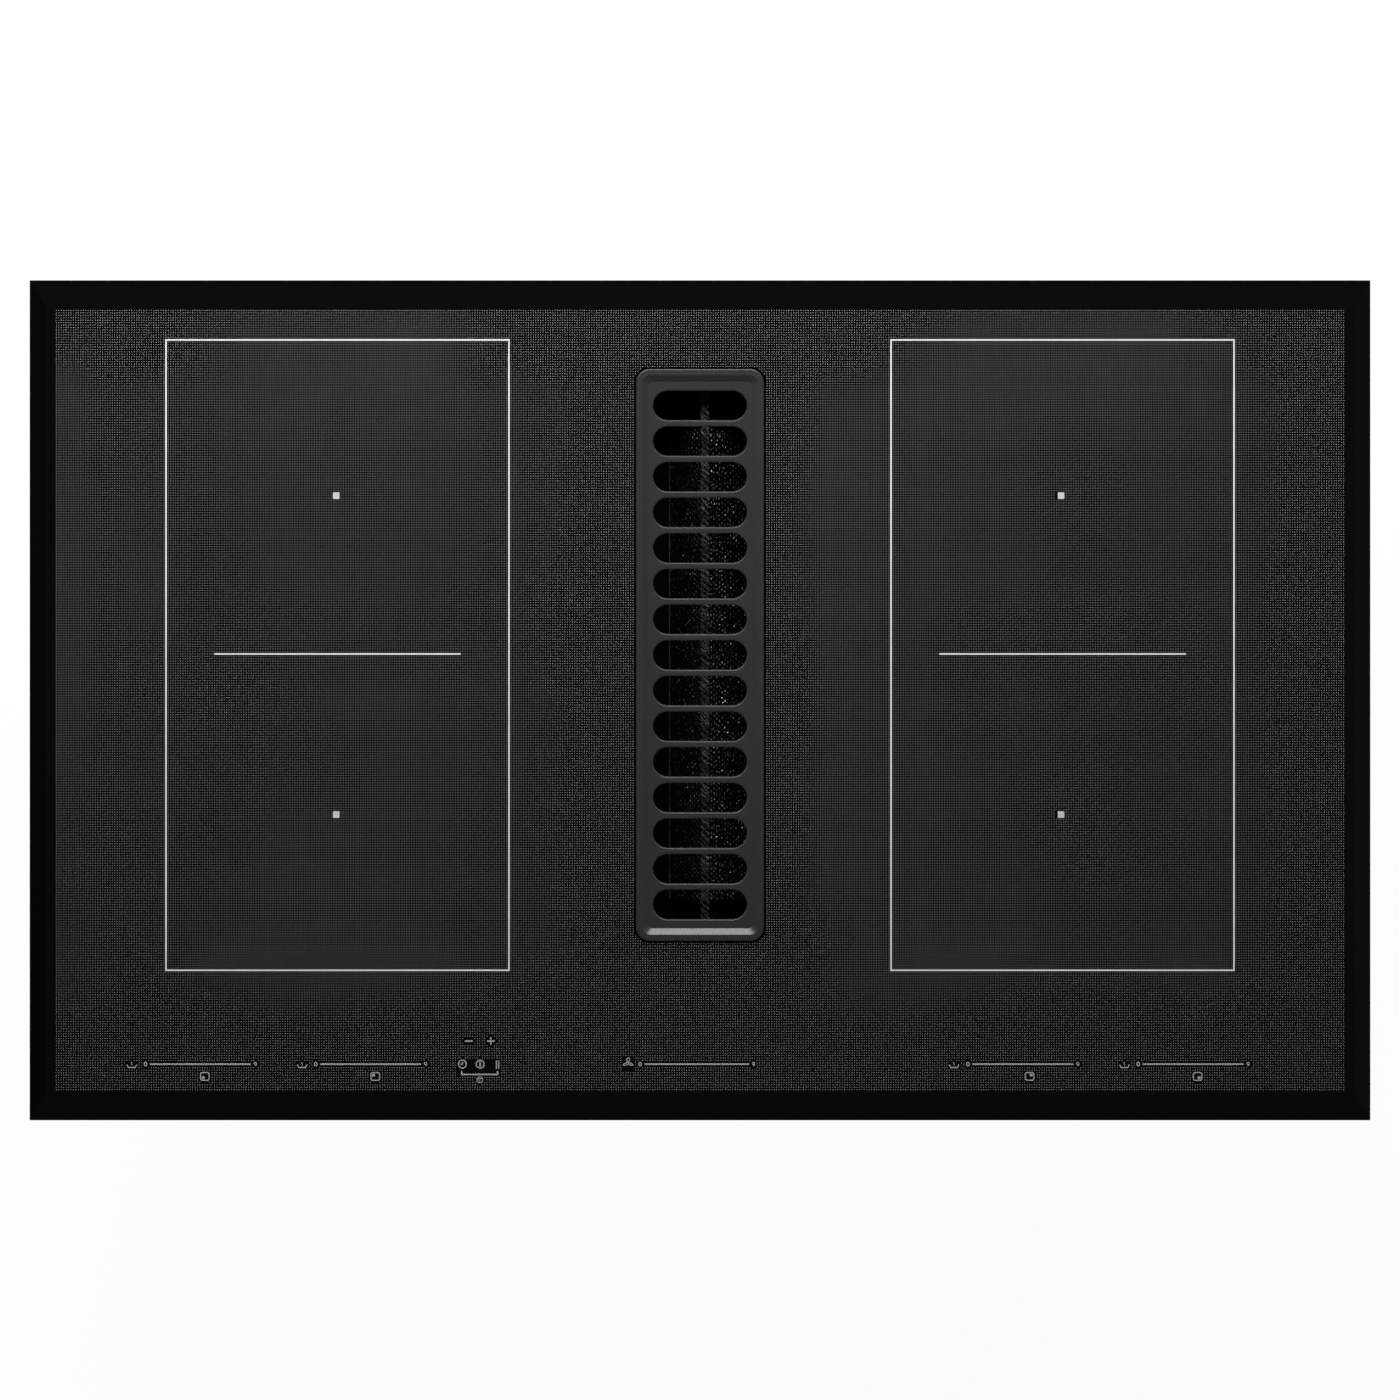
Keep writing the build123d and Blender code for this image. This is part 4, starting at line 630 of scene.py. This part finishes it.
# moulded plastic or rubber: its colour clouds a little, and a fine grain breaks up the gloss
mouldedBasis = {
    "rough": 0.5, "uneven": 0.06, "gloss": 0.4, "grain": 900.0, "relief": 0.00003,
    "mottle": 0.12, "clouds": 24.0,
}
mouldedLooks = {
    # near-black: painted shade on the filter tub's floor, deep in the well
    "filterTubCoat": {
        "shade": 0.0007, "rough": 0.6, "grain": 1300.0, "gloss": 0.05, "nodes": ["filter_frame"],
    },
    "wellBlack": {"shade": 0.008, "grain": 700.0, "relief": 0.00005, "nodes": ["filter_well"]},
    "trayBlack": {"shade": 0.02, "rough": 0.38, "nodes": ["drip_tray"]},
    "siliconeSeal": {
        "shade": (0.10, 0.10, 0.105), "rough": 0.62, "grain": 500.0,
        "nodes": ["tray_seal", "motor_mounts", "fan_mounts"],
    },
    "foamTape": {
        "shade": (0.045, 0.045, 0.047), "rough": 0.8, "grain": 2400.0, "relief": 0.00012, "mottle": 0.2,
        "nodes": ["sealing_tape"],
    },
    "fanHousingGrey": {
        "shade": (0.055, 0.057, 0.06), "rough": 0.46, "grain": 800.0, "relief": 0.00004,
        "nodes": ["scroll_lower", "scroll_upper", "suction_hood"],
    },
    "ductGrey": {
        "shade": (0.11, 0.112, 0.115), "rough": 0.48, "grain": 800.0, "relief": 0.00004,
        "nodes": ["duct_adapter", "inlet_ring"],
    },
    "fanWheelBlack": {
        "shade": 0.016, "rough": 0.42, "nodes": ["impeller", "blower_wheel_left", "blower_wheel_right"],
    },
    "glandNylon": {"shade": 0.018, "rough": 0.45, "nodes": ["cable_gland"]},
    "terminalNylon": {"shade": (0.62, 0.62, 0.58), "rough": 0.45, "nodes": ["terminal_block"]},
    "trayNylon": {
        "shade": 0.03, "grain": 700.0, "relief": 0.00004,
        "nodes": ["board_tray_left", "board_tray_right", "blower_housing_left", "blower_housing_right"],
    },
    "lightCarrierWhite": {"shade": (0.72, 0.72, 0.70), "rough": 0.4, "nodes": ["touch_carrier"]},
    "siliconeSensor": {"shade": (0.55, 0.52, 0.48), "rough": 0.6, "grain": 700.0, "nodes": ["coil_sensors"]},
    "ferrite": {
        "shade": (0.035, 0.034, 0.035), "rough": 0.55, "grain": 500.0, "relief": 0.00006, "mottle": 0.25,
        "nodes": allOf("coil_ferrites"),
    },
}
for name, changes in mouldedLooks.items():
    look = {**mouldedBasis, **changes}
    finish = Finish(name, specular=look["gloss"])
    cloud = finish.noise(look["clouds"], 3.0)
    shade = np.array(colour(look["shade"])[:3])
    dark, light = shade * (1 - look["mottle"]), shade * (1 + look["mottle"])
    finish.put(base=finish.mix(cloud.between(0.3, 0.7), tuple(dark), tuple(light)))
    finish.put(rough=cloud.between(0.2, 0.8, look["rough"] - look["uneven"], look["rough"] + look["uneven"]))
    finish.put(normal=finish.bump(finish.noise(look["grain"]), look["relief"]))
    dress(finish, *look["nodes"])

# sheet or turned metal: long faint streaks, and crystals where it is galvanised
rolledBasis = {
    "rough": 0.35, "uneven": 0.07, "streaks": 420.0, "stretch": (1.0, 1.0, 1.0), "relief": 0.000012,
    "dark": 0.78, "light": 1.12, "spangle": 0.0, "spangleShare": 0.65,
}
rolledLooks = {
    "stampedAluminium": {
        "shade": (0.62, 0.62, 0.63), "rough": 0.36, "nodes": ["mesh_left", "mesh_right", "filter_spine"],
    },
    "galvanisedSheet": {
        "shade": (0.56, 0.57, 0.58), "rough": 0.34, "spangle": 95.0,
        "nodes": ["lower_casing", "worktop_clamps"],
    },
    "zincScrew": {
        "shade": (0.60, 0.60, 0.58), "rough": 0.3,
        "nodes": ["clamp_screws", "fan_screws", "motor_screws", "scroll_screws"],
    },
    "turnedSteel": {
        "shade": (0.58, 0.57, 0.56), "rough": 0.24, "stretch": (1.0, 1.0, 14.0),
        "nodes": ["impeller_shaft", "shaft_bearings", "coil_springs"],
    },
    "drawnZinc": {"shade": (0.50, 0.50, 0.50), "rough": 0.4, "nodes": ["motor_stator"]},
    "extrudedAluminium": {
        "shade": (0.75, 0.75, 0.76), "rough": 0.38, "stretch": (8.0, 0.3, 8.0),
        "nodes": ["heat_sink_left", "heat_sink_right"],
    },
    "carrierAluminium": {
        "shade": (0.78, 0.78, 0.79), "rough": 0.32, "stretch": (0.2, 6.0, 1.0), "nodes": allOf("coil_carrier"),
    },
}
for name, changes in rolledLooks.items():
    look = {**rolledBasis, **changes}
    finish = Finish(name, metal=1.0)
    shade = np.array(look["shade"])
    streaks = finish.noise(look["streaks"], 3.0, look["stretch"])
    tone = streaks.between(0.25, 0.75)
    if look["spangle"]:
        inputs = {"Vector": finish.object, "Scale": look["spangle"], "Randomness": 1.0}
        crystals = finish.node("ShaderNodeTexVoronoi", {"feature": "F1"}, inputs, "Color")
        grey = finish.node("ShaderNodeSeparateColor", {}, {0: crystals}, 0)
        tone = tone * (1 - look["spangleShare"]) + grey * look["spangleShare"]
    dark, light = shade * look["dark"], np.minimum(shade * look["light"], 1.0)
    finish.put(base=finish.mix(tone, tuple(dark), tuple(light)))
    finish.put(rough=tone * (2 * look["uneven"]) + (look["rough"] - look["uneven"]))
    finish.put(normal=finish.bump(streaks, look["relief"]))
    dress(finish, *look["nodes"])

# litz winding: the copper's brightness runs in rings about each coil's middle, one ring for each turn:
# sin(2 pi * distance from the middle / turn). The dark part of each ring is painted shade in the crease
# between turns; the same rings give the bump
litzLook = {
    "turn": 0.0026, "dark": (0.20, 0.07, 0.03), "light": (0.62, 0.27, 0.13), "rough": 0.4, "metal": 0.7,
    "relief": 0.0004,
}
for name in allOf("coil_winding"):
    low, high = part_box(name)
    middle = (low + high) / 2
    litz = Finish("litz" + name.removeprefix("coil_winding").title().replace("_", ""), metal=litzLook["metal"])
    inputs = {"Vector": litz.object, "Location": (-middle.x, -middle.y, 0.0)}
    place = litz.node("ShaderNodeMapping", {}, inputs)
    flat = litz.node("ShaderNodeVectorMath", {"operation": "MULTIPLY"}, {0: place, 1: (1.0, 1.0, 0.0)})
    away = litz.node("ShaderNodeVectorMath", {"operation": "LENGTH"}, {0: flat}, "Value")
    rings = away * (2 * pi / litzLook["turn"])
    turnPaintedShadeAndRelief = rings.math("SINE", rings) * 0.5 + 0.5
    litz.put(base=litz.mix(turnPaintedShadeAndRelief, litzLook["dark"], litzLook["light"]))
    litz.put(rough=litzLook["rough"], normal=litz.bump(turnPaintedShadeAndRelief, litzLook["relief"]))
    dress(litz, name)

micaLook = {
    "flakes": 130.0, "band": (0.1, 0.8), "dark": (0.42, 0.36, 0.26), "light": (0.60, 0.54, 0.42),
    "rough": 0.45, "gloss": 0.5, "relief": 0.00008,
}
mica = Finish("micaSheet", rough=micaLook["rough"], specular=micaLook["gloss"])
inputs = {"Vector": mica.object, "Scale": micaLook["flakes"]}
flakes = mica.node("ShaderNodeTexVoronoi", {"feature": "F1"}, inputs, "Distance")
mica.put(base=mica.mix(flakes.between(*micaLook["band"]), micaLook["dark"], micaLook["light"]))
mica.put(normal=mica.bump(flakes, micaLook["relief"]))
dress(mica, "mica_sheets")

# boards: green lacquer with a faint grid of tracks
boardLook = {
    "lacquer": (0.012, 0.075, 0.03), "track": (0.03, 0.14, 0.05), "tracks": 90.0, "line": 0.03, "rough": 0.35,
}
board = Finish("lacqueredBoard", rough=boardLook["rough"])
inputs = {"Vector": board.object, "Scale": boardLook["tracks"], "Mortar Size": boardLook["line"]}
inputs.update({"Color1": 0.0, "Color2": 0.25, "Mortar": 1.0})
tracks = board.node("ShaderNodeTexBrick", {}, inputs, "Color")
grey = board.node("ShaderNodeSeparateColor", {}, {0: tracks}, 0)
board.put(base=board.mix(grey, boardLook["lacquer"], boardLook["track"]))
dress(board, "power_board_left", "power_board_right", "touch_board")

# parts on the boards: dark sleeves on the capacitors, lighter tops above them
boardParts = {
    "sleeve": (0.02, 0.022, 0.03), "top": (0.42, 0.42, 0.43), "from": -0.0262, "to": -0.0258, "rough": 0.4,
    "grain": 700.0, "relief": 0.00004,
}
parts = Finish("boardParts", rough=boardParts["rough"])
above = parts.axis("Z").between(boardParts["from"], boardParts["to"])
parts.put(base=parts.mix(above, boardParts["sleeve"], boardParts["top"]))
parts.put(normal=parts.bump(parts.noise(boardParts["grain"]), boardParts["relief"]))
dress(parts, "power_parts_left", "power_parts_right")
print("CAD nodes dressed")

# the studio: a pale floor a hair under the part, so that no two faces share a plane
studio = {"extent": 6.0, "gap": 0.0005, "floorShade": 0.6, "paper": 0.95, "shadow": 0.1}
reach, level = studio["extent"], cadLow[2] - studio["gap"]
floorMesh = bpy.data.meshes.new("studioFloor")
square = [(-reach, -reach, level), (reach, -reach, level), (reach, reach, level), (-reach, reach, level)]
floorMesh.from_pydata(square, [], [(0, 1, 2, 3)])
floor = bpy.data.objects.new("studioFloor", floorMesh)
bpy.context.scene.collection.objects.link(floor)
paperMaterial = bpy.data.materials.new("studioPaper")
paperMaterial.use_nodes = True
paperMaterial.node_tree.nodes.clear()
paper = Wiring(paperMaterial.node_tree)
# seen, mirrored or seen through, the paper glows near white and takes a faint shadow; to other rays it is matt
seen = paper.node("ShaderNodeLightPath", out="Is Camera Ray")
for ray in ("Is Glossy Ray", "Is Transmission Ray"):
    seen = seen.math("MAXIMUM", seen, paper.node("ShaderNodeLightPath", out=ray))
glow = paper.node("ShaderNodeEmission", {}, {"Strength": studio["paper"]})
dim = paper.node("ShaderNodeBsdfDiffuse", {}, {"Color": studio["shadow"]})
both = paper.node("ShaderNodeAddShader", {}, {0: glow, 1: dim})
matt = paper.node("ShaderNodeBsdfDiffuse", {}, {"Color": studio["floorShade"]})
surface = paper.node("ShaderNodeMixShader", {}, {0: seen, 1: matt, 2: both})
clear = paper.node("ShaderNodeBsdfTransparent")
below = paper.node("ShaderNodeNewGeometry", out="Backfacing")  # from below, the floor lets the part be seen
surface = paper.node("ShaderNodeMixShader", {}, {0: below, 1: surface, 2: clear})
paper.node("ShaderNodeOutputMaterial", {}, {"Surface": surface})
floorMesh.materials.append(paperMaterial)
floor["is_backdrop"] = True

# the sky is dark within about 70 degrees of the zenith, where the flat glass looks, and pale from 81 degrees to
# the horizon. It fades to the sides and leans a little to the right:
# (ramp(z) + lean * x) * (1 - fade * x * x), held above the least
skyLook = {
    "stops": ((0.0, 1.35), (0.15, 1.25), (0.36, 0.05), (0.88, 0.04)), "lean": 0.1, "fade": 0.7, "least": 0.012,
}
world = bpy.data.worlds.new("studioSky")
bpy.context.scene.world = world
world.use_nodes = True
world.node_tree.nodes.clear()
sky = Wiring(world.node_tree)
place = sky.node("ShaderNodeTexCoord", out="Generated")
x = sky.node("ShaderNodeSeparateXYZ", {}, {0: place}, "X")
z = sky.node("ShaderNodeSeparateXYZ", {}, {0: place}, "Z")
ramp = sky.node("ShaderNodeValToRGB", {"stops": skyLook["stops"]}, {0: z})
shade = (ramp + x * skyLook["lean"]) * (1 - x * x * skyLook["fade"])
lit = sky.node("ShaderNodeBackground", {}, {"Color": shade.math("MAXIMUM", shade, skyLook["least"])})
white = sky.node("ShaderNodeBackground", {}, {"Color": 1.0})
seen = sky.node("ShaderNodeLightPath", out="Is Camera Ray")
backdrop = sky.node("ShaderNodeMixShader", {}, {0: seen, 1: lit, 2: white})
sky.node("ShaderNodeOutputWorld", {}, {"Surface": backdrop})


def softbox(name, place, width, height, power):
    # a rectangular lamp that faces the middle of the part
    lamp = bpy.data.lights.new(name, "AREA")
    lamp.shape, lamp.size, lamp.size_y, lamp.energy = "RECTANGLE", width, height, power
    box = bpy.data.objects.new(name, lamp)
    bpy.context.scene.collection.objects.link(box)
    box.location = place
    box.rotation_euler = (-Vector(place)).to_track_quat("-Z", "Y").to_euler()
    return box


# the key stands behind the hob, 37 degrees up, where the grille's front flank mirrors it to the camera. It is
# two lamps: one gives the light, and one close behind it the sheen, which the glass doesn't mirror. A ray that
# meets both at the same distance would count only one of them, so there is a gap between them
keyLight = {
    "reach": 1.3, "rise": 37.0, "x": -0.12, "width": 1.47, "height": 0.54, "light": 27.0, "sheen": 25.2,
    "farther": 1.01,
}
rise = radians(keyLight["rise"])
keyPlace = (keyLight["x"], keyLight["reach"] * cos(rise), keyLight["reach"] * sin(rise))
keySize = keyLight["width"], keyLight["height"]
key = softbox("keyBack", keyPlace, *keySize, keyLight["light"])
key.visible_glossy = False
sheenPlace = tuple(value * keyLight["farther"] for value in keyPlace)
sheen = softbox("keySheen", sheenPlace, *keySize, keyLight["sheen"])
sheen.visible_diffuse = False
unlit = bpy.data.collections.new("sheenLeavesOut")
unlit.objects.link(nodes["glass_top"])
unlit.collection_objects[0].light_linking.link_state = "EXCLUDE"
sheen.light_linking.receiver_collection = unlit

# the camera hangs straight over the glass, as far up as the frame's width on the glass asks of its lens
viewer = {"lens": 300.0, "sensor": 36.0, "frameWidth": 0.8666, "x": 0.0, "y": 0.00019, "far": 100.0}
camera = bpy.data.objects.new("photoCamera", bpy.data.cameras.new("photoCamera"))
bpy.context.scene.collection.objects.link(camera)
camera.data.lens, camera.data.sensor_width = viewer["lens"], viewer["sensor"]
camera.data.sensor_fit = "HORIZONTAL"
camera.data.clip_end = viewer["far"]
height = glassFace * mm + viewer["frameWidth"] * viewer["lens"] / viewer["sensor"]
camera.location = (viewer["x"], viewer["y"], height)
camera.rotation_euler = (0.0, 0.0, 0.0)
bpy.context.scene.camera = camera
bpy.context.scene.view_settings.view_transform = "Standard"

low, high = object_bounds()
print("camera and light set")
